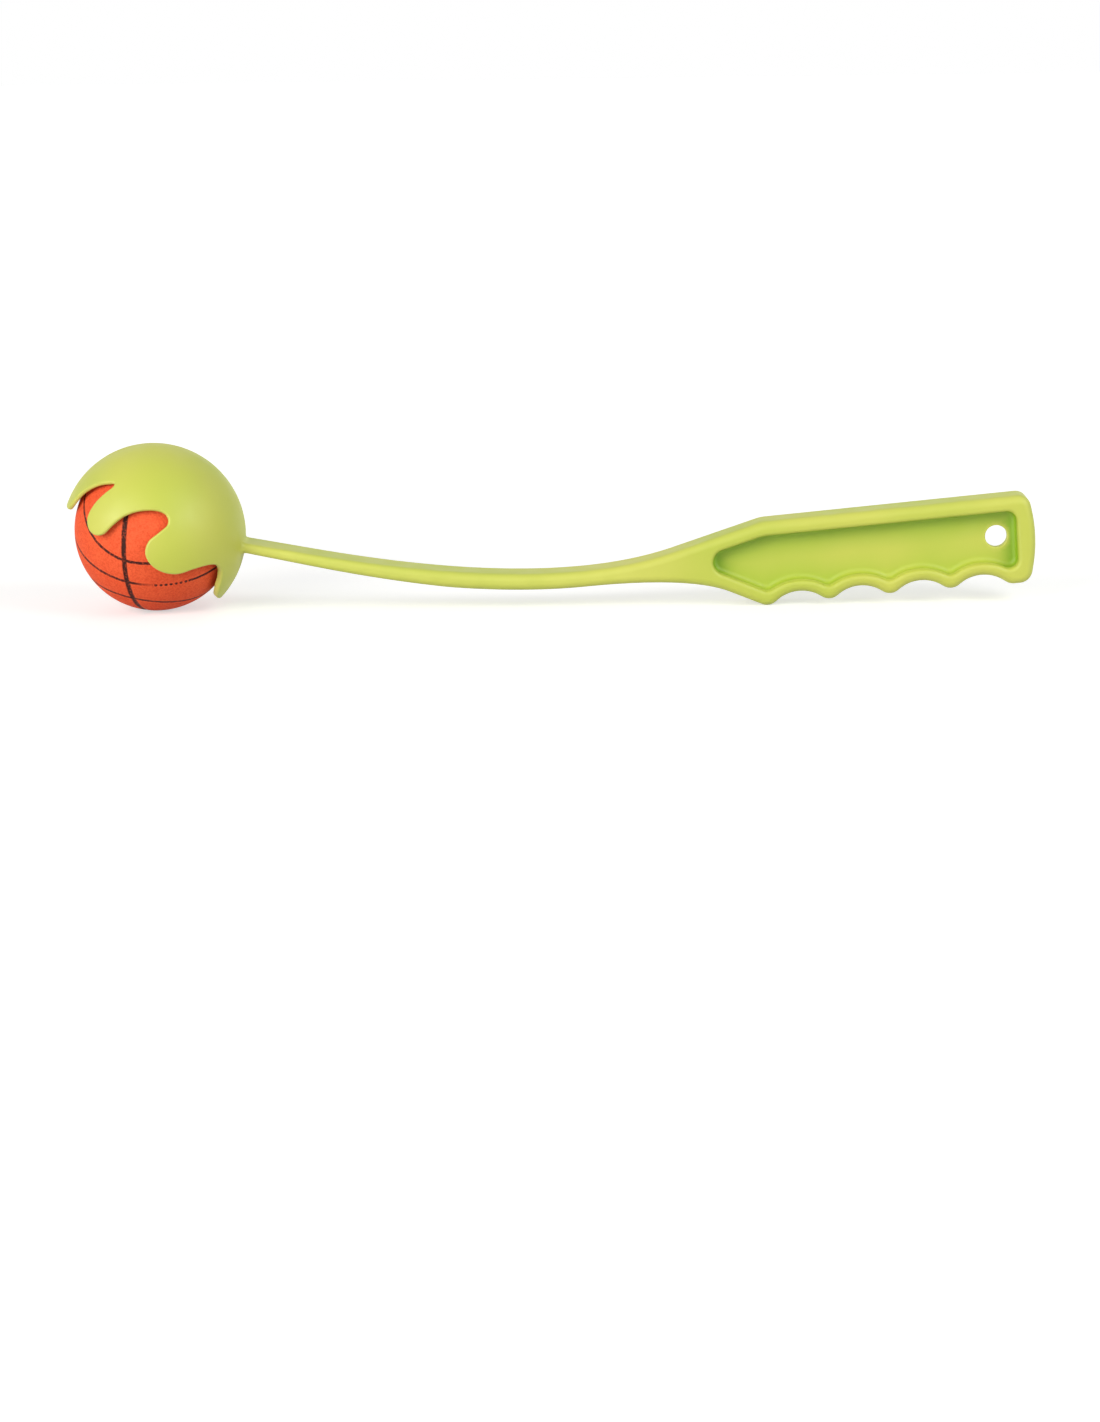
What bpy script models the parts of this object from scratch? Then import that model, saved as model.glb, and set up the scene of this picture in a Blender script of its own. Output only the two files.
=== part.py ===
"""A dog ball thrower: one moulded cup, arm and grip, with a foam ball held in the cup. Metres, +Z up.

The thrower stands as it is photographed: on the ball and on the first crest of its grip. Its mid-plane is the
XZ plane, and the cup is at -X. Sizes are laid out from the centre of the ball, and the whole is centred last.
"""

import math

import bmesh
import bpy
from mathutils import Matrix, Vector

# Ball
BALL_DIAMETER = 0.0600

# Cup: two spheres whose centres lie off the ball's centre towards the mouth, so that the wall thickens
# from the back of the cup to the finger tips and the ball leaves freely
BALL_CLEARANCE = 0.0003
CUP_BACK_WALL = 0.0016
MOUTH_EASE = 0.0018
MOUTH_WALL = 0.0022
CUP_SIDE_SHIFT = 0.0004
MOUTH_ANGLE = 57.7

# Fingers: azimuth from the upper finger round the mouth, then latitude above the cup's equator, in degrees.
# They are given for the near side, and the far side mirrors them
FINGER_EDGE_ANGLES = (
    (0.0, 12.0), (8.0, 12.6), (15.4, 11.4), (20.0, 6.8), (23.2, 0.0), (28.0, -7.6), (34.4, -15.0),
    (40.6, -19.9), (44.6, -22.3), (46.4, -20.2), (44.8, -13.0), (43.4, -4.0), (44.4, 5.0), (49.5, 10.3),
    (56.0, 11.0), (61.0, 7.5), (63.5, 0.0), (67.0, -9.5), (73.5, -18.0), (83.0, -24.2), (90.5, -25.0),
    (94.3, -20.4), (91.7, -12.5), (89.2, -5.0), (91.3, 2.5), (98.0, 7.0), (107.0, 7.6), (116.0, 4.4),
    (124.0, -2.8), (132.0, -8.3), (139.0, -10.6), (144.8, -9.2), (149.4, -4.4), (154.6, 4.0), (162.2, 10.2),
    (171.0, 12.4), (180.0, 12.8),
)
FINGER_EDGE_STEP = 0.0021
FINGER_CURVE_STEPS = 12

# Arm: a strip in the plane of its bow, as wide as the grip
ARM_ROOT_ANGLE = -7.0
ARM_ROOT_SLOPE = -10.4
ARM_ROOT_THICKNESS = 0.0034
ARM_THICKNESS = 0.0060
ARM_REACH = 0.2238
NECK_SLOPE = 18.7
ARM_FULL_THICKNESS_SHARE = 0.42
ARM_BEND_START_SHARE = 0.26
ARM_BEND_END_SHARE = 0.58
NECK_START_SHARE = 0.68
NECK_END_SHARE = 0.50

# Grip
GRIP_WIDTH = 0.0170
GRIP_TILT = 5.25
GRIP_LENGTH = 0.0986
GRIP_DEPTH = 0.03085
GRIP_FLARE = 0.9
GRIP_END_RAKE = 0.0017
GRIP_END_BULGE = 0.0033
GRIP_END_RADIUS = 0.0550
GRIP_TOP_CORNER = 0.0046
GRIP_HEEL_CORNER = 0.0050
GRIP_HEEL_DROP = 0.0004
SHOULDER_RADIUS = 0.0140
EDGE_RADIUS = 0.0013
EDGE_WALL_SHARE = 0.42

# Finger grooves under the grip: as many as leave a heel of this length or more
GRIP_HEEL_LENGTH = 0.0050
GROOVE_PITCH = 0.0225
GROOVE_COUNT = int((GRIP_LENGTH - GRIP_HEEL_LENGTH) / GROOVE_PITCH)
GROOVE_DEPTH = 0.0038
CREST_RADIUS = 0.0050
LOWER_EDGE_SLOPE = 27.2

# Recess in each side of the grip, and the web left between them
RIM_TOP = 0.0054
RIM_LOWER = 0.0050
RIM_GROOVE = 0.0042
RIM_END = 0.0050
RIM_FRONT = 0.0053
WEB_THICKNESS = 0.0040
RECESS_FRONT_RADIUS = 0.0047
RECESS_CORNER = 0.0035
RECESS_VALLEY_RADIUS = 0.0033
RECESS_FLOOR_FILLET = 0.0018

# Hanging hole through the web
HOLE_DIAMETER = 0.0082
HOLE_FROM_END = 0.0126
HOLE_FROM_TOP = 0.0151

OVERRUN = 0.0060
WELD_DISTANCE = 0.00003
SHORTEST_EDGE = 0.00015

# How finely the round shapes are faceted, how level faces lie that are joined into one, and the angle past
# which an edge is shaded sharp
SPHERE_SEGMENTS = 56
SPHERE_RINGS = 28
ARC_STEP = 12.0
BEND_STEPS = 16
EDGE_RESOLUTION = 2
FINGER_CAP_RINGS = 6
FLAT_ANGLE = 0.02
SHARP_SHADING_ANGLE = 40.0

# Colours, roughness
PLASTIC_COLOUR = (0.52, 0.66, 0.10, 1.0)
PLASTIC_ROUGHNESS = 0.42
FOAM_COLOUR = (0.87, 0.11, 0.035, 1.0)
FOAM_ROUGHNESS = 0.78

BALL_RADIUS = BALL_DIAMETER / 2
CUP_INNER_RADIUS = BALL_RADIUS + MOUTH_EASE
CUP_OUTER_RADIUS = CUP_INNER_RADIUS + MOUTH_WALL
MOUTH_AXIS = Vector((-math.cos(math.radians(MOUTH_ANGLE)), 0, -math.sin(math.radians(MOUTH_ANGLE))))
MOUTH_SIDE = Vector((MOUTH_AXIS.z, 0, -MOUTH_AXIS.x))
BALL_CENTRE = Vector((0, 0, BALL_RADIUS))
CUP_INNER_CENTRE = BALL_CENTRE + MOUTH_AXIS * (CUP_INNER_RADIUS - BALL_RADIUS - BALL_CLEARANCE)
CUP_OUTER_CENTRE = BALL_CENTRE + MOUTH_AXIS * (CUP_OUTER_RADIUS - BALL_RADIUS - BALL_CLEARANCE - CUP_BACK_WALL)
CUP_OUTER_CENTRE -= MOUTH_SIDE * CUP_SIDE_SHIFT


def clear_scene():
    for old in list(bpy.data.objects):
        bpy.data.objects.remove(old, do_unlink=True)


def new_collection(name):
    group = bpy.data.collections.new(name)
    bpy.context.scene.collection.children.link(group)
    return group


def plastic(name, colour, roughness):
    material = bpy.data.materials.new(name)
    material.use_nodes = True
    shader = material.node_tree.nodes["Principled BSDF"]
    shader.inputs["Base Color"].default_value = colour
    shader.inputs["Roughness"].default_value = roughness
    shader.inputs["Metallic"].default_value = 0.0
    return material


def heading(degrees):
    """The direction in the XZ plane that rises by this angle from +X."""
    return Vector((math.cos(math.radians(degrees)), math.sin(math.radians(degrees))))


def crossing(first, first_angle, second, second_angle):
    """Where two lines in a plane meet, each given by a point and its angle in degrees."""
    along, other = heading(first_angle), heading(second_angle)
    return first + along * ((second - first).cross(other) / along.cross(other))


def turn_at(before, corner, after):
    """How far an outline turns at a corner, in radians."""
    return math.pi - (before - corner).angle(after - corner)


def arc_corner(before, corner, after, radius):
    """The points of a round corner of this radius."""
    back, ahead = (before - corner), (after - corner)
    turn = turn_at(before, corner, after)
    start = corner + back.normalized() * radius * math.tan(turn / 2)
    centre = corner + (back.normalized() + ahead.normalized()).normalized() * radius / math.cos(turn / 2)
    spoke = start - centre
    side = math.copysign(1.0, back.cross(ahead))
    count = max(2, math.ceil(math.degrees(turn) / ARC_STEP))
    points = []
    for step in range(count + 1):
        angle = -side * turn * step / count
        cosine, sine = math.cos(angle), math.sin(angle)
        points.append(centre + Vector((spoke.x * cosine - spoke.y * sine, spoke.x * sine + spoke.y * cosine)))
    return points


def bend(start, corner, end):
    """A long curve that leaves start and reaches end in line with the corner between them."""
    points = []
    for step in range(BEND_STEPS + 1):
        t = step / BEND_STEPS
        points.append(start * (1 - t) ** 2 + corner * 2 * t * (1 - t) + end * t**2)
    return points


def rounded(corners):
    """A closed outline from (point, radius) corners. Where two of them need more than the edge between them,
    both give way in the same proportion, so their arcs meet."""
    sides = []
    for index, (corner, radius) in enumerate(corners):
        before, after = corners[index - 1][0], corners[(index + 1) % len(corners)][0]
        need = radius * math.tan(turn_at(before, corner, after) / 2)
        sides.append((before, after, need))
    points = []
    for index, (corner, radius) in enumerate(corners):
        before, after, need = sides[index]
        if need == 0:
            points.append(corner)
            continue
        needs = need + sides[index - 1][2], need + sides[(index + 1) % len(corners)][2]
        room = min(1.0, (before - corner).length / needs[0], (after - corner).length / needs[1])
        points += arc_corner(before, corner, after, radius * room)
    return points


def wave_slope(depth):
    """The steepest slope of a wave of this depth made of arcs that meet each other."""
    return 2 * math.atan(depth / (GROOVE_PITCH / 2))


def wave_corners(first, depth, crest_radius):
    """Corners of the waved lower edge, from its first crest to its last groove, in the grip's own frame."""
    slope = wave_slope(depth)
    groove_radius = GROOVE_PITCH / 2 / math.sin(slope) - crest_radius
    beyond = 1 / math.cos(slope) - 1
    drift = math.tan(math.radians(GRIP_FLARE))
    corners = []
    for index in range(GROOVE_COUNT):
        crest_along = index * GROOVE_PITCH
        groove_along = crest_along + GROOVE_PITCH / 2
        crest = Vector((crest_along, first + crest_along * drift + crest_radius * beyond))
        groove = Vector((groove_along, first + groove_along * drift - depth - groove_radius * beyond))
        corners += [(crest, crest_radius), (groove, groove_radius)]
    return corners


def grip_corners():
    """Corners of the grip from the end of its top edge round to its first crest, in its own frame: along the
    top edge from the shoulder, then down into the grip."""
    slope = wave_slope(GROOVE_DEPTH)
    wave = wave_corners(GRIP_DEPTH, GROOVE_DEPTH, CREST_RADIUS)
    last_groove = wave[-1][0]
    heel_depth = GRIP_DEPTH + GROOVE_COUNT * GROOVE_PITCH * math.tan(math.radians(GRIP_FLARE)) + GRIP_HEEL_DROP
    heel_start = Vector((last_groove.x + (heel_depth - last_groove.y) / math.tan(slope), heel_depth))
    heel = Vector((GRIP_LENGTH - GRIP_END_RAKE, heel_depth))
    top = Vector((GRIP_LENGTH, 0))
    middle = (top + heel) / 2 + Vector((GRIP_END_BULGE, 0))
    end = [(top, GRIP_TOP_CORNER), (middle, GRIP_END_RADIUS), (heel, GRIP_HEEL_CORNER)]
    return end + [(heel_start, CREST_RADIUS)] + wave[::-1]


def recess_outline():
    """The recess follows the grip's edges at the width of its rim."""
    depth = GROOVE_DEPTH + RIM_GROOVE - RIM_LOWER
    wave = wave_corners(GRIP_DEPTH - RIM_LOWER, depth, RECESS_VALLEY_RADIUS)
    shoulder = Vector((0, RIM_FRONT))
    front = crossing(shoulder, GRIP_TILT - NECK_SLOPE, wave[0][0], LOWER_EDGE_SLOPE)
    last_groove = wave[-1][0]
    end_top = Vector((GRIP_LENGTH - RIM_END, RIM_TOP))
    end_along = GRIP_LENGTH - GRIP_END_RAKE / 2 - RIM_END
    end_low = Vector((end_along, last_groove.y + (end_along - last_groove.x) * math.tan(wave_slope(depth))))
    corners = [(shoulder, SHOULDER_RADIUS), (end_top, RECESS_CORNER), (end_low, RECESS_CORNER)]
    return rounded(corners + wave[::-1] + [(front, RECESS_FRONT_RADIUS)])


def place_grip(shoulder, points):
    """Grip points in the XZ plane: along the tilted top edge, and down from it."""
    along = heading(GRIP_TILT)
    down = heading(GRIP_TILT - 90)
    return [shoulder + along * point.x + down * point.y for point in points]


def arm_top(root, shoulder):
    """The arm's top edge from the cup to the shoulder."""
    lowest = crossing(root, ARM_ROOT_SLOPE, shoulder, NECK_SLOPE)
    start = root.lerp(lowest, ARM_BEND_START_SHARE)
    end = lowest.lerp(shoulder, ARM_BEND_END_SHARE)
    return [root] + bend(start, lowest, end) + [shoulder]


def arm_underside(top, root, shoulder, crest):
    """The arm's lower edge from the cup to the neck: the top edge set down by the arm's thickness, then a
    curve into the grip's lower edge."""
    span = shoulder.x - root.x
    lower = []
    for before, point, after in zip([top[0]] + top, top, top[1:] + [top[-1]]):
        share = (point.x - root.x) / span
        if share > NECK_START_SHARE:
            break
        grown = min(1.0, share / ARM_FULL_THICKNESS_SHARE)
        thickness = ARM_ROOT_THICKNESS + (ARM_THICKNESS - ARM_ROOT_THICKNESS) * grown
        ahead = (after - before).normalized()
        lower.append(point + Vector((ahead.y, -ahead.x)) * thickness)
    leaving = lower[-1] - lower[-2]
    leaving_angle = math.degrees(math.atan2(leaving.y, leaving.x))
    corner = crossing(lower[-1], leaving_angle, crest, GRIP_TILT - LOWER_EDGE_SLOPE)
    end = corner.lerp(crest, NECK_END_SHARE)
    return lower[:-1] + bend(lower[-1], corner, end)


def strip_outline():
    """The outline of arm and grip in the XZ plane, and the shoulder that the grip is placed from. The grip
    stands on the lowest of its crests."""
    corners = grip_corners()
    neck = corners[-1][0] - heading(LOWER_EDGE_SLOPE) * GROOVE_PITCH
    edge = rounded([(Vector((0, 0)), 0)] + corners + [(neck, 0)])
    lowest = min(point.y for point in place_grip(Vector((0, 0)), edge))
    shoulder = Vector((ARM_REACH, -lowest))
    places = place_grip(shoulder, [corner for corner, radius in corners])
    grip = [(place, radius) for place, (corner, radius) in zip(places, corners)]
    cup = Vector((CUP_OUTER_CENTRE.x, CUP_OUTER_CENTRE.z))
    outward = heading(ARM_ROOT_ANGLE)
    across = Vector((-outward.y, outward.x))
    root = cup + outward * (CUP_OUTER_RADIUS - OVERRUN) + across * ARM_ROOT_THICKNESS / 2
    root -= across * OVERRUN * math.tan(math.radians(ARM_ROOT_SLOPE - ARM_ROOT_ANGLE))
    top = arm_top(root, shoulder)
    lower = arm_underside(top, root, shoulder, places[-1])
    outline = [(point, 0) for point in top[:-1]] + [(shoulder, SHOULDER_RADIUS)] + grip
    return rounded(outline + [(point, 0) for point in lower[::-1]]), shoulder


def without_doubles(points):
    """The closed outline without points that repeat the one before."""
    kept = []
    for point in points:
        if not kept or (point - kept[-1]).length > SHORTEST_EDGE:
            kept.append(point)
    return kept


def extruded(name, outline, width, edge_radius, group):
    """A flat outline in the XZ plane made a solid of this width, centred on the mid-plane, with round edges."""
    curve = bpy.data.curves.new(name, "CURVE")
    curve.dimensions = "2D"
    curve.fill_mode = "BOTH"
    curve.extrude = width / 2 - edge_radius
    curve.bevel_depth = edge_radius
    curve.bevel_resolution = EDGE_RESOLUTION
    curve.offset = -edge_radius
    outline = without_doubles(outline)
    spline = curve.splines.new("POLY")
    spline.points.add(len(outline) - 1)
    for point, place in zip(spline.points, outline):
        point.co = (place.x, place.y, 0, 1)
    spline.use_cyclic_u = True
    sketch = bpy.data.objects.new(name + "_sketch", curve)
    sketch.matrix_world = Matrix.Rotation(math.pi / 2, 4, "X")
    bpy.context.scene.collection.objects.link(sketch)
    graph = bpy.context.evaluated_depsgraph_get()
    mesh = bpy.data.meshes.new_from_object(sketch.evaluated_get(graph))
    cage = bmesh.new()
    cage.from_mesh(mesh)
    bmesh.ops.remove_doubles(cage, verts=cage.verts, dist=WELD_DISTANCE)
    flat = math.radians(FLAT_ANGLE)
    bmesh.ops.dissolve_limit(cage, angle_limit=flat, verts=cage.verts, edges=cage.edges, delimit=set())
    bmesh.ops.transform(cage, matrix=sketch.matrix_world, verts=cage.verts)
    bmesh.ops.recalc_face_normals(cage, faces=cage.faces)
    cage.to_mesh(mesh)
    cage.free()
    bpy.data.objects.remove(sketch, do_unlink=True)
    solid = bpy.data.objects.new(name, mesh)
    group.objects.link(solid)
    return solid


def sphere(name, radius, centre, axis, group):
    """A ball of facets whose poles lie on the axis."""
    cage = bmesh.new()
    bmesh.ops.create_uvsphere(cage, u_segments=SPHERE_SEGMENTS, v_segments=SPHERE_RINGS, radius=radius)
    half_step = Matrix.Rotation(math.pi / SPHERE_SEGMENTS, 4, "Z")
    turn = axis.to_track_quat("Z", "Y").to_matrix().to_4x4()
    bmesh.ops.transform(cage, matrix=turn @ half_step, verts=cage.verts)
    mesh = bpy.data.meshes.new(name)
    cage.to_mesh(mesh)
    cage.free()
    solid = bpy.data.objects.new(name, mesh)
    solid.location = centre
    group.objects.link(solid)
    return solid


def as_cutter(solid):
    solid.hide_render = True
    solid.display_type = "WIRE"
    return solid


def boolean(target, operation, tool):
    modifier = target.modifiers.new(tool.name, "BOOLEAN")
    modifier.operation = operation
    modifier.solver = "EXACT"
    modifier.object = tool
    return modifier


def weld_slivers(target):
    """Closes the hair-thin facets that cuts can leave."""
    weld = target.modifiers.new("weld_slivers", "WELD")
    weld.merge_threshold = WELD_DISTANCE
    return weld


def finger_edge():
    """The edge of the fingers as directions from the cup's centre, evenly spaced round the mouth."""
    far_side = [(-azimuth, latitude) for azimuth, latitude in FINGER_EDGE_ANGLES[-2:0:-1]]
    knots = [Vector(angles) for angles in FINGER_EDGE_ANGLES] + [Vector((360 + a, l)) for a, l in far_side]
    count = len(knots)
    turn = Vector((360.0, 0.0))
    dense = []
    for index in range(count):
        around = [knots[(index + offset) % count] + turn * ((index + offset) // count) for offset in (-1, 0, 1, 2)]
        first, second, third, fourth = around
        for step in range(FINGER_CURVE_STEPS):
            t = step / FINGER_CURVE_STEPS
            point = second * 2 + (third - first) * t + (first * 2 - second * 5 + third * 4 - fourth) * t**2
            dense.append((point + (second * 3 - first - third * 3 + fourth) * t**3) / 2)
    rays = []
    for point in dense:
        azimuth, latitude = math.radians(point.x), math.radians(point.y)
        outward = MOUTH_SIDE * math.cos(azimuth) - Vector((0, math.sin(azimuth), 0))
        rays.append(outward * math.cos(latitude) + MOUTH_AXIS * math.sin(latitude))
    travelled, kept = 0.0, [rays[0]]
    for before, ray in zip(rays, rays[1:]):
        travelled += (ray - before).length * CUP_OUTER_RADIUS
        if travelled >= FINGER_EDGE_STEP:
            kept.append(ray)
            travelled = 0.0
    return kept


def mouth_cutter(group):
    """The solid that opens the cup: a fan from the cup's centre out through the edge of the fingers, closed by
    a dome round the mouth."""
    rays = finger_edge()
    reach = CUP_OUTER_RADIUS + OVERRUN
    cage = bmesh.new()
    rings = []
    for ring in range(FINGER_CAP_RINGS):
        share = ring / FINGER_CAP_RINGS
        rings.append([cage.verts.new(ray.slerp(MOUTH_AXIS, share) * reach) for ray in rays])
    centre, pole = cage.verts.new((0, 0, 0)), cage.verts.new(MOUTH_AXIS * reach)
    for index in range(len(rays)):
        after = (index + 1) % len(rays)
        cage.faces.new((centre, rings[0][index], rings[0][after]))
        cage.faces.new((pole, rings[-1][after], rings[-1][index]))
        for low, high in zip(rings, rings[1:]):
            cage.faces.new((low[index], high[index], high[after], low[after]))
    bmesh.ops.recalc_face_normals(cage, faces=cage.faces)
    mesh = bpy.data.meshes.new("mouth_cutter")
    cage.to_mesh(mesh)
    cage.free()
    cutter = bpy.data.objects.new("mouth_cutter", mesh)
    cutter.location = CUP_OUTER_CENTRE
    group.objects.link(cutter)
    return as_cutter(cutter)


def recess_cutter(name, side, shoulder, group):
    """A pocket in one side of the grip, with a rounded floor edge."""
    depth = (GRIP_WIDTH - WEB_THICKNESS) / 2
    outline = place_grip(shoulder, recess_outline())
    cutter = extruded(name, outline, depth * 2, RECESS_FLOOR_FILLET, group)
    cutter.location.y = side * (WEB_THICKNESS / 2 + depth)
    return as_cutter(cutter)


def hole_cutter(shoulder, group):
    place = place_grip(shoulder, [Vector((GRIP_LENGTH - HOLE_FROM_END, HOLE_FROM_TOP))])[0]
    cage = bmesh.new()
    bmesh.ops.create_cone(
        cage,
        cap_ends=True,
        segments=SPHERE_SEGMENTS // 2,
        radius1=HOLE_DIAMETER / 2,
        radius2=HOLE_DIAMETER / 2,
        depth=GRIP_WIDTH + OVERRUN * 2,
    )
    bmesh.ops.transform(cage, matrix=Matrix.Rotation(math.pi / 2, 4, "X"), verts=cage.verts)
    mesh = bpy.data.meshes.new("hole_cutter")
    cage.to_mesh(mesh)
    cage.free()
    cutter = bpy.data.objects.new("hole_cutter", mesh)
    cutter.location = (place.x, 0, place.y)
    group.objects.link(cutter)
    return as_cutter(cutter)


def make_thrower(parts, cutters):
    outline, shoulder = strip_outline()
    edge_radius = min(EDGE_RADIUS, ARM_ROOT_THICKNESS * EDGE_WALL_SHARE)
    thrower = extruded("thrower", outline, GRIP_WIDTH, edge_radius, parts)
    shell = as_cutter(sphere("cup_outside", CUP_OUTER_RADIUS, CUP_OUTER_CENTRE, MOUTH_AXIS, cutters))
    hollow = as_cutter(sphere("cup_inside", CUP_INNER_RADIUS, CUP_INNER_CENTRE, MOUTH_AXIS, cutters))
    for name, side in (("recess_cutter_near", -1), ("recess_cutter_far", 1)):
        boolean(thrower, "DIFFERENCE", recess_cutter(name, side, shoulder, cutters))
    boolean(thrower, "DIFFERENCE", hole_cutter(shoulder, cutters))
    weld_slivers(thrower)
    boolean(thrower, "UNION", shell)
    boolean(thrower, "DIFFERENCE", hollow)
    boolean(thrower, "DIFFERENCE", mouth_cutter(cutters))
    weld_slivers(thrower)
    thrower.data.materials.append(plastic("moulded_plastic", PLASTIC_COLOUR, PLASTIC_ROUGHNESS))
    return thrower


def make_ball(parts):
    ball = sphere("ball", BALL_RADIUS, BALL_CENTRE, Vector((0, 0, 1)), parts)
    ball.data.materials.append(plastic("foam_rubber", FOAM_COLOUR, FOAM_ROUGHNESS))
    ball.data.shade_smooth()
    return ball


def centre_on_footprint(objects, helpers):
    """Parents everything to one empty, which brings the middle of the bounding box over the origin."""
    graph = bpy.context.evaluated_depsgraph_get()
    low, high = math.inf, -math.inf
    for solid in objects:
        evaluated = solid.evaluated_get(graph)
        mesh = evaluated.to_mesh()
        reach = [(evaluated.matrix_world @ vertex.co).x for vertex in mesh.vertices]
        low, high = min(low, *reach), max(high, *reach)
        evaluated.to_mesh_clear()
    base = bpy.data.objects.new("thrower_base", None)
    bpy.context.scene.collection.objects.link(base)
    for item in objects + helpers:
        item.parent = base
    base.location.x = -(low + high) / 2


def main():
    clear_scene()
    parts, cutters = new_collection("dog_ball_thrower"), new_collection("cutters")
    thrower = make_thrower(parts, cutters)
    ball = make_ball(parts)
    centre_on_footprint([thrower, ball], list(cutters.objects))
    thrower.data.shade_smooth()
    thrower.data.set_sharp_from_angle(angle=math.radians(SHARP_SHADING_ANGLE))


main()
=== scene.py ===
"""The finished dog ball thrower: a satin moulded cup, arm and grip in one skin, and a foam ball with
printed seam lines, on a pale studio floor. Metres, +Z up. Every size is laid out from the ball in the
packed frame."""

import math

import bmesh
import bpy
from mathutils import Matrix, Vector, geometry, kdtree


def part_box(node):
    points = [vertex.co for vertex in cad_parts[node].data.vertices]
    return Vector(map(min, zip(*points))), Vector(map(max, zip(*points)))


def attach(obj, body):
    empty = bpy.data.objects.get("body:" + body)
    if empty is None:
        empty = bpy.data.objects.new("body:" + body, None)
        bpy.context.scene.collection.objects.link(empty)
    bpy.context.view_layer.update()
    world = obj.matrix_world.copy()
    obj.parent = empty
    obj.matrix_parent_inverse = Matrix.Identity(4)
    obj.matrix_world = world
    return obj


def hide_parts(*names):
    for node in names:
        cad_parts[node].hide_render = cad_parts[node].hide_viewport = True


bl_info = {
    "name": "Dog Ball Thrower",
    "version": (1, 0, 0),
    "blender": (4, 5, 0),
    "location": "3D View > Sidebar > Ball Thrower",
    "description": "Builds the fine surfaces and the finishes of a dog ball thrower and its foam ball",
    "category": "Object",
}

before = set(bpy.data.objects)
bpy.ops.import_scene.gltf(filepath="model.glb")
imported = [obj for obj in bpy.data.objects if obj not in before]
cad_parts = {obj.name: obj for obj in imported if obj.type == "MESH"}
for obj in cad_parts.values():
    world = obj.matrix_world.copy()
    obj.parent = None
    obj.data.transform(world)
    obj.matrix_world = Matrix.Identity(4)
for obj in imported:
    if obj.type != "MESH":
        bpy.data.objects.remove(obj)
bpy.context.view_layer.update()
BALL_LOW, BALL_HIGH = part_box("ball")

MM = 0.001
BALL_RADIUS = (BALL_HIGH.z - BALL_LOW.z) / 2
BALL_CENTRE = (BALL_LOW + BALL_HIGH) / 2
WELD = 1e-6


def length_of(name, description, millimetres):
    return bpy.props.FloatProperty(
        name=name, description=description, default=millimetres * MM, unit="LENGTH"
    )


def angle_of(name, description, degrees):
    return bpy.props.FloatProperty(
        name=name, description=description, default=math.radians(degrees), subtype="ANGLE"
    )


def share_of(name, description, share):
    return bpy.props.FloatProperty(name=name, description=description, default=share, min=0.0, max=1.0)


def count_of(name, description, count):
    return bpy.props.IntProperty(name=name, description=description, default=count, min=1)


def colour_of(name, description, rgb):
    return bpy.props.FloatVectorProperty(
        name=name, description=description, default=rgb, size=3, subtype="COLOR", min=0.0, max=1.0
    )


def axis_of(name, description, direction):
    return bpy.props.FloatVectorProperty(
        name=name, description=description, default=direction, size=3, subtype="DIRECTION"
    )


class CupSizes(bpy.types.PropertyGroup):
    """The cup that holds the ball, and its fingers."""

    clearance: length_of("Ball clearance", "Gap behind the ball at the back of the cup", 0.3)
    back_wall: length_of("Back wall", "Wall thickness at the back of the cup", 1.6)
    mouth_ease: length_of("Mouth ease", "How much larger the inside radius is than the ball's", 1.8)
    mouth_wall: length_of("Mouth wall", "Outer radius less inner radius", 2.10)
    side_shift: length_of("Side shift", "How far the outside lies across the mouth's axis", 0.4)
    mouth_angle: angle_of("Mouth angle", "How far the mouth faces down from level", 57.7)
    lip_outer: length_of("Outer lip radius", "Rounding of the finger edges outside", 0.8)
    lip_inner: length_of("Inner lip radius", "Rounding of the finger edges inside", 0.6)
    spacing: length_of("Mesh spacing", "Distance between the points of the cup's skin", 1.0)


class ArmSizes(bpy.types.PropertyGroup):
    """The bowed arm and where it leaves the cup."""

    root_angle: angle_of("Root angle", "Where the arm leaves the cup, from level", -7.0)
    root_slope: angle_of("Root slope", "How the arm runs as it leaves the cup", -10.4)
    root_thickness: length_of("Root thickness", "Thickness at the cup", 3.4)
    thickness: length_of("Thickness", "Thickness past the bow", 6.0)
    reach: length_of("Reach", "From the ball's centre to the grip's shoulder", 223.8)
    neck_slope: angle_of("Neck slope", "How the arm rises into the grip", 18.7)
    full_share: share_of("Full thickness", "Where along the arm it has its full thickness", 0.42)
    bend_start: share_of("Bow start", "Where the bow starts, along its first tangent", 0.26)
    bend_end: share_of("Bow end", "Where the bow ends, along its second tangent", 0.58)
    neck_start: share_of("Neck start", "Where the underside turns down to the grip", 0.68)
    neck_end: share_of("Neck end", "Where the underside meets the grip's lower edge", 0.50)
    edge: length_of("Edge radius", "Rounding of the arm's edges", 2.6)
    side_fillet: length_of("Side fillet", "Fillet between the arm's sides and the cup", 1.7)
    top_fillet: length_of("Top fillet", "Fillet between the arm's top and the cup", 1.6)
    low_fillet: length_of("Low fillet", "Fillet between the arm's underside and the cup", 2.2)


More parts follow.
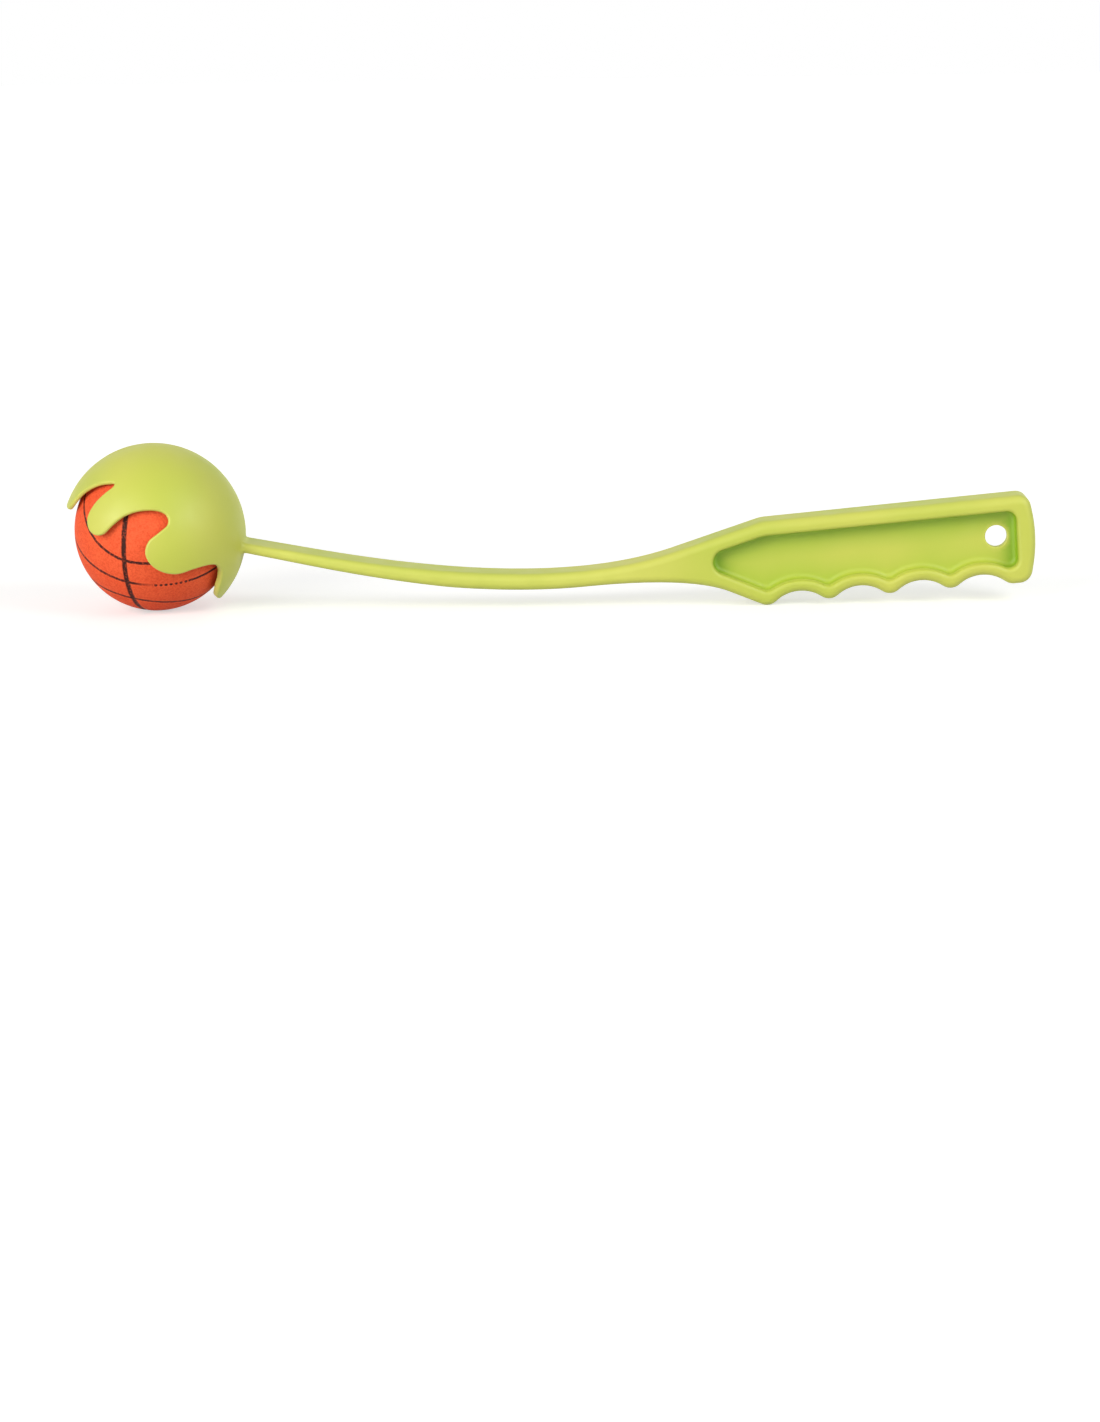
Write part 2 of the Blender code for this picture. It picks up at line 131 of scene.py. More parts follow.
class GripSizes(bpy.types.PropertyGroup):
    """The grip with its finger grooves, recess and hanging hole."""

    width: length_of("Width", "Width of arm and grip", 17.0)
    tilt: angle_of("Tilt", "Slope of the grip's top edge", 5.25)
    length: length_of("Length", "From the shoulder to the end", 98.5)
    depth: length_of("Depth", "From the top edge to the first crest", 30.85)
    flare: angle_of("Flare", "How the crests run away from the top edge", 0.9)
    end_rake: length_of("End rake", "How much shorter the lower edge is than the upper", 1.7)
    end_bulge: length_of("End bulge", "How far the end bulges at its middle", 3.3)
    end_radius: length_of("End radius", "Radius of the bulged end", 55.0)
    top_corner: length_of("Top corner", "Radius of the end's upper corner", 4.6)
    heel_corner: length_of("Heel corner", "Radius of the end's lower corner", 5.0)
    heel_drop: length_of("Heel drop", "How far the heel stands below the crests", 0.4)
    shoulder_radius: length_of("Shoulder radius", "Radius where the neck meets the top edge", 14.0)
    edge: length_of("Edge radius", "Rounding of the outer edges", 2.6)
    top_edge: length_of("Top edge radius", "Rounding of the edges along the top", 3.1)
    groove_count: count_of("Grooves", "Number of finger grooves", 4)
    groove_pitch: length_of("Groove pitch", "From crest to crest", 22.5)
    groove_depth: length_of("Groove depth", "From crest to groove", 3.8)
    crest_radius: length_of("Crest radius", "Radius of the crests", 5.0)
    lower_slope: angle_of("Lower edge slope", "How the neck's underside runs to the first crest", 27.2)
    rim_top: length_of("Top rim", "Rim above the recess", 5.4)
    rim_lower: length_of("Lower rim", "Rim below the recess at the crests", 5.0)
    rim_groove: length_of("Groove rim", "Rim below the recess at the grooves", 4.2)
    rim_end: length_of("End rim", "Rim at the end of the recess", 5.0)
    rim_front: length_of("Front rim", "Rim at the front of the recess", 5.3)
    web: length_of("Web", "Thickness of the web between the recesses", 4.0)
    recess_front: length_of("Recess front radius", "Radius at the recess's pointed front", 4.7)
    recess_corner: length_of("Recess corner radius", "Radius of the recess's end corners", 3.5)
    recess_valley: length_of("Recess valley radius", "Radius of the recess above the crests", 3.3)
    recess_edge: length_of("Recess edge radius", "Rounding of the rim towards the recess", 1.4)
    floor_fillet: length_of("Floor fillet", "Fillet round the recess's floor", 1.8)
    hole: length_of("Hole", "Diameter of the hanging hole", 8.2)
    hole_edge: length_of("Hole edge", "Rounding of the hanging hole", 0.4)
    hole_from_end: length_of("Hole from end", "From the grip's end to the hole's centre", 12.6)
    hole_from_top: length_of("Hole from top", "From the top edge to the hole's centre", 15.1)
    spacing: length_of("Mesh spacing", "Distance between the points of the skin", 0.9)


class BallSizes(bpy.types.PropertyGroup):
    """The foam ball and the lines printed in its grooves."""

    subdivisions: count_of("Subdivisions", "How finely the sphere is divided", 7)
    seam_axis: axis_of(
        "Seam axis", "Axis of the middle seam line, square to its circle", (0.0728, -0.5551, 0.8286)
    )
    main_axis: axis_of(
        "Main axis", "Axis of the thick line, square to its circle", (0.9515, -0.3006, -0.0651)
    )
    oval_angle: angle_of("Oval angle", "From the seam axis to the ovals, on average", 65.6)
    oval_swing: angle_of("Oval swing", "How far the ovals swing to and from the seam line", 6.9)
    main_groove: length_of("Main groove", "Half width of the thick line's groove", 1.1)
    main_depth: length_of("Main groove depth", "Depth of the thick line's groove", 0.28)
    thin_groove: length_of("Thin groove", "Half width of the thin lines' grooves", 0.8)
    thin_depth: length_of("Thin groove depth", "Depth of the thin lines' grooves", 0.14)
    swell: length_of("Swell", "Unevenness of the foam's skin", 0.05)
    swell_size: length_of("Swell size", "Size of the uneven places", 8.0)
    main_line: length_of("Thick line", "Half width of the thick printed line", 1.0)
    thin_line: length_of("Thin line", "Half width of the thin printed lines", 0.58)
    fade_start: angle_of("Fade start", "Where the middle seam line begins to fade", 3.0)
    dots_start: angle_of("Dots start", "Where the middle seam line turns into dots", 18.5)
    dots_end: angle_of("Dots end", "Where the dots turn into a line again", 43.7)
    dot_pitch: angle_of("Dot pitch", "From dot to dot round the ball", 3.6)
    dot: length_of("Dot", "Radius of a printed dot", 0.62)


class Finishes(bpy.types.PropertyGroup):
    """Colours and surfaces of the plastic and the foam, with painted shade and painted glow on the plastic.
    """

    plastic: colour_of("Plastic", "Colour of the moulded plastic", (0.595, 0.613, 0.09))
    plastic_cool: colour_of("Plastic, cooler", "Colour of its greener places", (0.505, 0.578, 0.064))
    # Painted shade: the recess is darker and greener along its walls, most under its top rim and towards
    # its ends
    plastic_deep: colour_of("Plastic, deep", "Colour in the depth of the recess", (0.25, 0.47, 0.004))
    deep_share: share_of("Deep tint", "How much of the deep colour shows", 0.9)
    # Painted glow and highlight: rounded edges, lips and the hole's edge lighter and yellower, and painted
    # light on the thin arm's sides
    plastic_edge: colour_of("Plastic edges", "Colour of its thin rounded edges", (0.755, 0.77, 0.17))
    edge_share: share_of("Edge tint", "How much of the edge colour shows", 0.7)
    thin_light: share_of("Thin arm", "How much of the edge colour the thin arm's sides have", 0.4)
    satin: share_of("Satin", "Roughness of the plastic", 0.5)
    satin_shine: share_of("Satin shine", "Strength of the plastic's gloss", 0.72)
    satin_change: share_of("Satin change", "How much its roughness changes", 0.08)
    plastic_grain: length_of("Plastic grain", "Size of the plastic's fine texture", 0.5)
    plastic_relief: length_of("Plastic relief", "Depth of the plastic's fine texture", 0.006)
    foam: colour_of("Foam", "Colour of the foam rubber", (0.97, 0.145, 0.048))
    foam_dark: colour_of("Foam, darker", "Colour between the foam's grains", (0.78, 0.078, 0.023))
    foam_roughness: share_of("Foam roughness", "Roughness of the foam rubber", 0.72)
    foam_shine: share_of("Foam shine", "Strength of the foam's gloss", 0.22)
    foam_grain: length_of("Foam grain", "Size of the foam's grain", 0.75)
    foam_relief: length_of("Foam relief", "Depth of the foam's grain", 0.05)
    ink: colour_of("Ink", "Colour of the printed lines", (0.04, 0.008, 0.005))
    ink_thin: colour_of("Thin ink", "Colour where the ink is thin", (0.22, 0.03, 0.015))
    ink_roughness: share_of("Ink roughness", "Roughness of the ink", 0.65)


class StudioSizes(bpy.types.PropertyGroup):
    """The camera, the floor and the lamps."""

    lens: bpy.props.FloatProperty(name="Lens", description="Focal length", default=102.532, unit="CAMERA")
    distance: length_of("Camera distance", "From the stand point to the camera", 1500.0)
    elevation: angle_of("Camera elevation", "How high the camera stands", 9.0)
    look_down: angle_of("Look down", "How far the camera looks down from level", 11.6154)
    roll: angle_of("Roll", "How far the view is turned about the ball", 0.69)
    across: length_of("Across", "From the ball to the point that the camera stands before", 145.80)
    rise: length_of("Rise", "Height of that point above the ball's centre", 1.28)
    floor: length_of("Floor", "Side of the floor", 8000.0)
    floor_colour: colour_of("Floor colour", "Colour of the floor", (0.62, 0.62, 0.62))
    near_lift: share_of("Near lift", "How much brighter the floor is to the camera near the thrower", 0.56)
    far_lift: share_of("Far lift", "How much brighter it is where the lamps don't reach", 0.88)
    near: length_of("Near", "Where the floor begins to grow brighter", 150.0)
    far: length_of("Far", "Where the floor has its far brightness", 1000.0)
    sky: share_of("Sky", "Strength of the even light from all round", 0.3)


SIZE_GROUPS = {
    "thrower_cup": CupSizes,
    "thrower_arm": ArmSizes,
    "thrower_grip": GripSizes,
    "thrower_ball": BallSizes,
    "thrower_finish": Finishes,
    "thrower_studio": StudioSizes,
}

# Fingers: azimuth from the upper finger round the mouth, then latitude above the cup's equator, in degrees.
# They are given for the near side, and the far side mirrors them
FINGER_EDGE_ANGLES = (
    (0.0, 12.0), (8.0, 12.6), (15.4, 11.4), (20.0, 6.8), (23.2, 0.0), (28.0, -7.6), (34.4, -15.0),
    (40.6, -19.9), (44.6, -22.3), (46.4, -20.2), (44.8, -13.0), (43.4, -4.0), (44.4, 5.0), (49.5, 10.3),
    (56.0, 11.0), (61.0, 7.5), (63.5, 0.0), (67.0, -9.5), (73.5, -18.0), (83.0, -24.2), (90.5, -25.0),
    (94.3, -20.4), (91.7, -12.5), (89.2, -5.0), (91.3, 2.5), (98.0, 7.0), (107.0, 7.6), (116.0, 4.4),
    (124.0, -2.8), (132.0, -8.3), (139.0, -10.6), (144.8, -9.2), (149.4, -4.4), (154.6, 4.0), (162.2, 10.2),
    (171.0, 12.4), (180.0, 12.8),
)

# How finely curves, arcs, round edges, walls and fillets are divided
CURVE_STEPS = 24
ARC_STEP = math.radians(3.0)
ROUND_STEPS = 5
WALL_STEPS = 3
FILLET_STEPS = 8
ROOT_STEPS = 6
END_POINTS = 3

# Spacings as shares of the mesh spacing, and the gap between a patch's edge and its fill points as a share
# of theirs
LIP_SPACING = 0.85
RECESS_SPACING = 0.9
HOLE_SPACING = 0.6
FILL_SPACING = 1.3
FILL_ROW = 0.866
CLEAR_SHARE = 0.62
PATCH_TOLERANCE = 1e-9

# A narrow flat row beside each round edge keeps the face next to it smooth
SUPPORT = 0.08 * MM

# The arm's outline starts inside the cup and is cut off clear of it, and its root leads back to the cup
OVERRUN = 6 * MM
ARM_CUT = 9 * MM

# Edges grow from the arm's radius to the grip's before the shoulder. On the thin arm they stay under a
# share of its thickness
TOP_EDGE_RUN = 40 * MM
LARGEST_EDGE_SHARE = 0.45

# The thin arm's painted light grows over this run, which starts as far before the shoulder
THIN_RUN = 25 * MM

# Painted shade in the recess, darker and greener: the run over which it fades from walls and ends, its
# shares along the top wall and the lower wall and where a wall begins, and the powers that keep it to the
# ends and off the lower wall
PAINTED_SHADE_RUN = 11 * MM
PAINTED_SHADE_AT_TOP = 0.8
PAINTED_SHADE_BELOW = 0.30
EDGE_PAINTED_SHADE = 0.3
END_POWER = 3
LOW_POWER = 4

# Painted highlight and glow: shares of the edge colour on round edges and round the hanging hole, and
# painted light on the recess's lower wall
RIM_LIGHT = 0.22
HOLE_LIGHT = 0.44
LOW_WALL_LIGHT = 0.6

# Seeds that keep the noises apart
BROAD_SEED, SMALL_SEED, WORN_SEED, PLASTIC_SEED = 1.0, 2.0, 3.0, 4.0
FOAM_SEED, TONE_SEED, SWELL_SEED = 5.0, 6.0, 7.0

# Texture of both materials: the finer grain's size and the coarse grain's share, and the values of the
# noise between which a shade changes from none to full
FINE_SIZE = 0.45
COARSE_SHARE = 0.6
GRAIN_RANGE = 0.36, 0.62
MOTTLE_RANGE = 0.3, 0.7

# Places of the plastic that differ a little, and how much its painted edge glow changes from place to place
BROAD_PLACES = 38 * MM
SMALL_PLACES = 7 * MM
EDGE_CHANGE = 0.3

# The foam's tone: size of its broad places, and what they and the pores add to the darker colour
TONE_PLACES = 12 * MM
TONE_SHARE = 0.2
PORE_SHARE = 0.75

# The print: size and reach of an edge's wandering, size and noise values of worn places, where a line's
# edge starts and ends as shares of its half width, how worn each line is, and how far the middle one fades
WANDER_SIZE = 1.6 * MM
RAGGED = 0.5 * MM
WORN_SIZE = 0.8 * MM
WORN_RANGE = 0.5, 0.75
LINE_EDGE = 0.7, 1.2
MIDDLE_WORN, DOTS_WORN, OVALS_WORN, THICK_WORN = 0.6, 0.2, 0.5, 0.3
MOST_FADE = 0.7

# Sizes of the ball that its geometry nodes take, and the socket for each kind of value
BALL_FORM = (
    "subdivisions", "seam_axis", "main_axis", "oval_angle", "oval_swing", "main_groove", "main_depth",
    "thin_groove", "thin_depth", "swell", "swell_size",
)
SOCKET_KINDS = {int: "NodeSocketInt", float: "NodeSocketFloat", Vector: "NodeSocketVector"}

# Inputs and output of a Mix node that mixes colours
MIX_SHARE, MIX_FIRST, MIX_SECOND, MIX_RESULT = 0, 6, 7, 2

# The studio: the camera's sensor in mm and its reach in m, the floor's roughness, and plain white
SENSOR_WIDTH = 36.0
CAMERA_REACH = 100.0
FLOOR_ROUGHNESS = 0.9
WHITE = (1.0, 1.0, 1.0, 1.0)

# Lamps: name, angle to the right of the camera, height angle, distance and side in m, power in watts,
# colour, and whether it shows in gloss
LAMPS = (
    ("key", math.radians(-40), math.radians(20), 1.6, 1.0, 19.5, (1.0, 0.95, 0.88), True),
    ("highlight", math.radians(54), math.radians(31), 1.3, 0.65, 6.5, (0.98, 1.0, 0.98), True),
    ("back", math.radians(165), math.radians(15), 1.6, 0.7, 6.0, (1.0, 0.98, 0.95), False),
)


def clamped(value):
    """The value, held between 0 and 1."""
    return min(1.0, max(0.0, value))


def heading(angle):
    """The direction in the XZ plane that rises by this angle from +X."""
    return Vector((math.cos(angle), math.sin(angle)))


def crossing(first, first_angle, second, second_angle):
    """Where two lines in a plane meet, each given by a point and its angle."""
    along, other = heading(first_angle), heading(second_angle)
    return first + along * ((second - first).cross(other) / along.cross(other))


def turn_at(before, corner, after):
    """How far an outline turns at a corner."""
    return math.pi - (before - corner).angle(after - corner)


def arc_corner(before, corner, after, radius):
    """The points of a round corner of this radius."""
    back, ahead = (before - corner), (after - corner)
    turn = turn_at(before, corner, after)
    start = corner + back.normalized() * radius * math.tan(turn / 2)
    centre = corner + (back.normalized() + ahead.normalized()).normalized() * radius / math.cos(turn / 2)
    spoke = start - centre
    side = math.copysign(1.0, back.cross(ahead))
    count = max(2, math.ceil(turn / ARC_STEP))
    points = []
    for step in range(count + 1):
        angle = -side * turn * step / count
        cosine, sine = math.cos(angle), math.sin(angle)
        turned = Vector((spoke.x * cosine - spoke.y * sine, spoke.x * sine + spoke.y * cosine))
        points.append(centre + turned)
    return points


def blend(start, corner, end, t):
    """The point at t, from 0 to 1, on the curve from start to end that the corner pulls to itself."""
    return start * (1 - t) ** 2 + corner * 2 * t * (1 - t) + end * t**2


def bend(start, corner, end):
    """A long curve that leaves start and reaches end in line with the corner between them."""
    count = CURVE_STEPS * 2
    return [blend(start, corner, end, step / count) for step in range(count + 1)]


def quarter():
    """The steps of a quarter round: the share of its turn, with sine and cosine."""
    for step in range(ROUND_STEPS + 1):
        turn = math.pi / 2 * step / ROUND_STEPS
        yield step / ROUND_STEPS, math.sin(turn), math.cos(turn)


def along_line(points):
    """The way along a line at each of its points. At both ends the line meets the mid-plane square."""
    last = len(points) - 1
    for index in range(last + 1):
        along = points[min(last, index + 1)] - points[max(0, index - 1)]
        yield Vector((0, along.y, 0)) if index in (0, last) else along


def rounded(corners):
    """A closed outline from (point, radius) corners. Where two of them need more than the edge between
    them, both give way in the same proportion, so their arcs meet."""
    sides = []
    for index, (corner, radius) in enumerate(corners):
        before, after = corners[index - 1][0], corners[(index + 1) % len(corners)][0]
        sides.append((before, after, radius * math.tan(turn_at(before, corner, after) / 2)))
    points = []
    for index, (corner, radius) in enumerate(corners):
        before, after, need = sides[index]
        if need == 0:
            points.append(corner)
            continue
        needs = need + sides[index - 1][2], need + sides[(index + 1) % len(corners)][2]
        room = min(1.0, (before - corner).length / needs[0], (after - corner).length / needs[1])
        points += arc_corner(before, corner, after, radius * room)
    return points


def wave_slope(grip, depth):
    """The steepest slope of a wave of this depth made of arcs that meet each other."""
    return 2 * math.atan(depth / (grip.groove_pitch / 2))


def wave_corners(grip, first, depth, crest_radius):
    """Corners of the waved lower edge, from its first crest to its last groove, in the grip's own frame."""
    slope = wave_slope(grip, depth)
    groove_radius = grip.groove_pitch / 2 / math.sin(slope) - crest_radius
    beyond = 1 / math.cos(slope) - 1
    drift = math.tan(grip.flare)
    corners = []
    for index in range(grip.groove_count):
        crest_along = index * grip.groove_pitch
        groove_along = crest_along + grip.groove_pitch / 2
        crest = Vector((crest_along, first + crest_along * drift + crest_radius * beyond))
        groove = Vector((groove_along, first + groove_along * drift - depth - groove_radius * beyond))
        corners += [(crest, crest_radius), (groove, groove_radius)]
    return corners


def grip_corners(grip):
    """Corners of the grip from the end of its top edge round to its first crest, in its own frame: along
    the top edge from the shoulder, then down into the grip."""
    slope = wave_slope(grip, grip.groove_depth)
    wave = wave_corners(grip, grip.depth, grip.groove_depth, grip.crest_radius)
    last_groove = wave[-1][0]
    heel_depth = grip.depth + grip.groove_count * grip.groove_pitch * math.tan(grip.flare) + grip.heel_drop
    heel_start = Vector((last_groove.x + (heel_depth - last_groove.y) / math.tan(slope), heel_depth))
    heel = Vector((grip.length - grip.end_rake, heel_depth))
    top = Vector((grip.length, 0))
    middle = (top + heel) / 2 + Vector((grip.end_bulge, 0))
    end = [(top, grip.top_corner), (middle, grip.end_radius), (heel, grip.heel_corner)]
    return end + [(heel_start, grip.crest_radius)] + wave[::-1]


def recess_outline(grip):
    """The recess follows the grip's edges at the width of its rim."""
    depth = grip.groove_depth + grip.rim_groove - grip.rim_lower
    wave = wave_corners(grip, grip.depth - grip.rim_lower, depth, grip.recess_valley)
    shoulder = Vector((0, grip.rim_front))
    neck_slope = bpy.context.scene.thrower_arm.neck_slope
    front = crossing(shoulder, grip.tilt - neck_slope, wave[0][0], grip.lower_slope)
    last_groove = wave[-1][0]
    end_top = Vector((grip.length - grip.rim_end, grip.rim_top))
    end_along = grip.length - grip.end_rake / 2 - grip.rim_end
    end_drop = (end_along - last_groove.x) * math.tan(wave_slope(grip, depth))
    end_low = Vector((end_along, last_groove.y + end_drop))
    ends = [(end_top, grip.recess_corner), (end_low, grip.recess_corner)]
    return rounded([(shoulder, grip.shoulder_radius)] + ends + wave[::-1] + [(front, grip.recess_front)])


def place_grip(grip, shoulder, points):
    """Grip points in the XZ plane: along the tilted top edge, and down from it."""
    along = heading(grip.tilt)
    down = heading(grip.tilt - math.pi / 2)
    return [shoulder + along * point.x + down * point.y for point in points]


def from_side(place):
    """A place in space as a point in the XZ plane."""
    return Vector((place.x, place.z))


class CupShape:
    """The cup's two spheres and the frame round its mouth."""

    def __init__(self, cup):
        self.inner = BALL_RADIUS + cup.mouth_ease
        self.outer = self.inner + cup.mouth_wall
        self.axis = Vector((-math.cos(cup.mouth_angle), 0, -math.sin(cup.mouth_angle)))
        self.side = Vector((self.axis.z, 0, -self.axis.x))
        ball = Vector((0, 0, BALL_RADIUS))
        self.inner_centre = ball + self.axis * (self.inner - BALL_RADIUS - cup.clearance)
        self.centre = ball + self.axis * (self.outer - BALL_RADIUS - cup.clearance - cup.back_wall)
        self.centre -= self.side * cup.side_shift

    def inside(self, direction):
        """How far the inner sphere lies from the outer one's centre in this direction."""
        offset = self.inner_centre - self.centre
        along = offset.dot(direction)
        return along + math.sqrt(along**2 - offset.length_squared + self.inner**2)

    def level(self, azimuth):
        """The direction at this azimuth round the mouth, on the near side."""
        return self.side * math.cos(azimuth) - Vector((0, math.sin(azimuth), 0))

    def flat(self, direction):
        """Where a direction falls in the plane that touches the back of the cup, seen from the mouth."""
        reach = 1 - direction.dot(self.axis)
        return Vector((direction.dot(self.side) / reach, direction.y / reach))


def arm_top(arm, root, shoulder):
    """The arm's top edge from the cup to the shoulder."""
    lowest = crossing(root, arm.root_slope, shoulder, arm.neck_slope)
    start = root.lerp(lowest, arm.bend_start)
    end = lowest.lerp(shoulder, arm.bend_end)
    return [root] + bend(start, lowest, end) + [shoulder]


def arm_thickness(arm, along, span):
    """The arm's thickness this far along its span."""
    grown = min(1.0, along / span / arm.full_share)
    return arm.root_thickness + (arm.thickness - arm.root_thickness) * grown


def arm_underside(arm, grip, top, root, shoulder, crest):
    """The arm's lower edge from the cup to the neck: the top edge set down by the arm's thickness, then a
    curve into the grip's lower edge."""
    span = shoulder.x - root.x
    lower = []
    for before, point, after in zip([top[0]] + top, top, top[1:] + [top[-1]]):
        if (point.x - root.x) / span > arm.neck_start:
            break
        ahead = (after - before).normalized()
        lower.append(point + Vector((ahead.y, -ahead.x)) * arm_thickness(arm, point.x - root.x, span))
    leaving = lower[-1] - lower[-2]
    corner = crossing(lower[-1], math.atan2(leaving.y, leaving.x), crest, grip.tilt - grip.lower_slope)
    end = corner.lerp(crest, arm.neck_end)
    return lower[:-1] + bend(lower[-1], corner, end)


def strip_outline(cup, arm, grip):
    """The open outline of arm and grip from the root's top to its underside, and the shoulder that the grip
    is placed from. The grip stands on the lowest of its crests."""
    corners = grip_corners(grip)
    neck = corners[-1][0] - heading(grip.lower_slope) * grip.groove_pitch
    edge = rounded([(Vector((0, 0)), 0)] + corners + [(neck, 0)])
    lowest = min(point.y for point in place_grip(grip, Vector((0, 0)), edge))
    shoulder = Vector((arm.reach, -lowest))
    places = place_grip(grip, shoulder, [corner for corner, radius in corners])
    round_grip = [(place, radius) for place, (corner, radius) in zip(places, corners)]
    outward = heading(arm.root_angle)
    across = Vector((-outward.y, outward.x))
    root = Vector((cup.centre.x, cup.centre.z)) + outward * (cup.outer - OVERRUN)
    root += across * arm.root_thickness / 2
    root -= across * OVERRUN * math.tan(arm.root_slope - arm.root_angle)
    top = arm_top(arm, root, shoulder)
    lower = arm_underside(arm, grip, top, root, shoulder, places[-1])
    outline = [(point, 0) for point in top[:-1]] + [(shoulder, grip.shoulder_radius)] + round_grip
    return rounded(outline + [(point, 0) for point in lower[::-1]]), shoulder


def even_points(points, spacing, closed=False):
    """Points a whole number of equal steps apart along a line, each step near the spacing."""
    line = points + points[:1] if closed else points
    reach = [0.0]
    for before, after in zip(line, line[1:]):
        reach.append(reach[-1] + (after - before).length)
    count = max(2, round(reach[-1] / spacing))
    even, index = [], 0
    for step in range(count if closed else count + 1):
        target = reach[-1] * step / count
        while index < len(reach) - 2 and reach[index + 1] < target:
            index += 1
        share = (target - reach[index]) / max(reach[index + 1] - reach[index], WELD)
        even.append(line[index].lerp(line[index + 1], min(1.0, share)))
    return even


def inward_normals(points, closed=False):
    """The normal at each point of a plane line, on its right-hand side."""
    normals = []
    for index, point in enumerate(points):
        before = points[index - 1] if closed or index else point
        after = points[(index + 1) % len(points)] if closed or index < len(points) - 1 else point
        ahead = (after - before).normalized()
        normals.append(Vector((ahead.y, -ahead.x)))
    return normals


class Skin:
    """A mesh put together from strips and flat or domed patches that share their edges."""

    def __init__(self):
        self.cage = bmesh.new()
        # Two shares on each vertex: painted glow and highlight on round edges, and painted shade in the
        # recess (deep)
        self.painted_edge_light = self.cage.verts.layers.float.new("painted_edge_light")
        self.deep = self.cage.verts.layers.float.new("deep")

    def row(self, places, light=0.0):
        """Vertices at these places, with this share of the edge colour, which is painted glow and
        highlight.
        """
        verts = []
        for place in places:
            vert = self.cage.verts.new(place)
            vert[self.painted_edge_light] = light
            verts.append(vert)
        return verts

    def strips(self, rows, closed=False):
        """Quads between rows of the same count."""
        for low, high in zip(rows, rows[1:]):
            count = len(low)
            for index in range(count if closed else count - 1):
                after = (index + 1) % count
                self.cage.faces.new((low[index], low[after], high[after], high[index]))

    def patch(self, border, holes, fill, flatten, sink=0.0):
        """Triangles inside a border of vertices, clear of the holes, with fill points inside. The border's
        painted shade fades away from it over the sink."""
        tree = kdtree.KDTree(len(border) + sum(len(hole) for hole in holes))
        loops, verts = [], []
        for loop in [border] + holes:
            loops.append(list(range(len(verts), len(verts) + len(loop))))
            for vert in loop:
                tree.insert(vert.co, len(verts))
                verts.append(vert)
        tree.balance()
        fixed = len(verts)
        places = [vert.co.copy() for vert in verts]
        for place, spacing in fill:
            if tree.find(place)[2] > spacing * CLEAR_SHARE:
                places.append(place)
        flat = [flatten(place) for place in places]
        for loop in loops:
            if sum(flat[before].cross(flat[after]) for before, after in zip(loop, loop[1:] + loop[:1])) < 0:
                loop.reverse()
        inside_only = 1
        made = geometry.delaunay_2d_cdt(flat, [], loops, inside_only, PATCH_TOLERANCE)
        points, _, faces, origins, _, face_loops = made
        if len(points) > len(places):
            raise RuntimeError("the edges of a patch cross each other")
        new = {}
        for face, owners in zip(faces, face_loops):
            if any(owner > 0 for owner in owners):
                continue
            corners = []
            for corner in face:
                origin = origins[corner][0]
                if origin < fixed:
                    corners.append(verts[origin])
                else:
                    if origin not in new:
                        new[origin] = self.cage.verts.new(places[origin])
                        # The border's painted shade fades into the new points
                        for vert in border if sink else ():
                            left = max(0.0, 1 - (vert.co - places[origin]).length / sink)
                            new[origin][self.deep] = max(new[origin][self.deep], vert[self.deep] * left**2)
                    corners.append(new[origin])
            self.cage.faces.new(corners)


def lip_edge(cup, spacing):
    """The finger edge on the near side as directions from the cup's centre, and at each the direction along
    the sphere into the finger."""
    knots = [Vector(angles) for angles in FINGER_EDGE_ANGLES]
    mirrored_start = Vector((-knots[1].x, knots[1].y))
    mirrored_end = Vector((360.0 - knots[-2].x, knots[-2].y))
    knots = [mirrored_start] + knots + [mirrored_end]
    rays = []
    # A smooth curve through the knots, each of which it passes in line with its two neighbours
    for first, second, third, fourth in zip(knots, knots[1:], knots[2:], knots[3:]):
        for step in range(CURVE_STEPS):
            t = step / CURVE_STEPS
            point = second * 2 + (third - first) * t + (first * 2 - second * 5 + third * 4 - fourth) * t**2
            point = (point + (second * 3 - first - third * 3 + fourth) * t**3) / 2
            rays.append(mouth_direction(cup, point))
    rays.append(mouth_direction(cup, knots[-2]))
    even = [ray.normalized() for ray in even_points(rays, spacing / cup.outer)]
    return even, [ray.cross(along).normalized() for ray, along in zip(even, along_line(even))]


def mouth_direction(cup, angles):
    """The direction from the cup's centre at an azimuth round the mouth and a latitude, in degrees."""
    azimuth, latitude = math.radians(angles.x), math.radians(angles.y)
    return cup.level(azimuth) * math.cos(latitude) + cup.axis * math.sin(latitude)


def on_sphere(ray, inward, share):
    """The direction that lies this angle from a ray, towards inward."""
    return ray * math.cos(share) + inward * math.sin(share)


def dome_points(cup, centre, radius, spacing):
    """Evenly spread points on the near half of a sphere, in rings round the back of the cup."""
    back = -cup.axis
    points = []
    rings = round(math.pi * radius / spacing)
    for ring in range(1, rings):
        polar = math.pi * ring / rings
        count = max(1, round(math.pi * math.sin(polar) * radius / spacing))
        for step in range(count):
            level = cup.level(math.pi * (step + 0.5) / count)
            points.append((centre + (back * math.cos(polar) + level * math.sin(polar)) * radius, spacing))
    return points


def meridian(cup, centre, radius, start, end, spacing):
    """Points in the mid-plane along a sphere from one place to another, round its back. Both ends are left
    out."""
    back = -cup.axis

    def angle_at(place):
        ray = place - centre
        return math.atan2(ray.dot(cup.side), ray.dot(back))

    first, last = angle_at(start), angle_at(end)
    count = max(2, round(abs(last - first) * radius / spacing))
    points = []
    for step in range(1, count):
        angle = first + (last - first) * step / count
        points.append(centre + (back * math.cos(angle) + cup.side * math.sin(angle)) * radius)
    return points


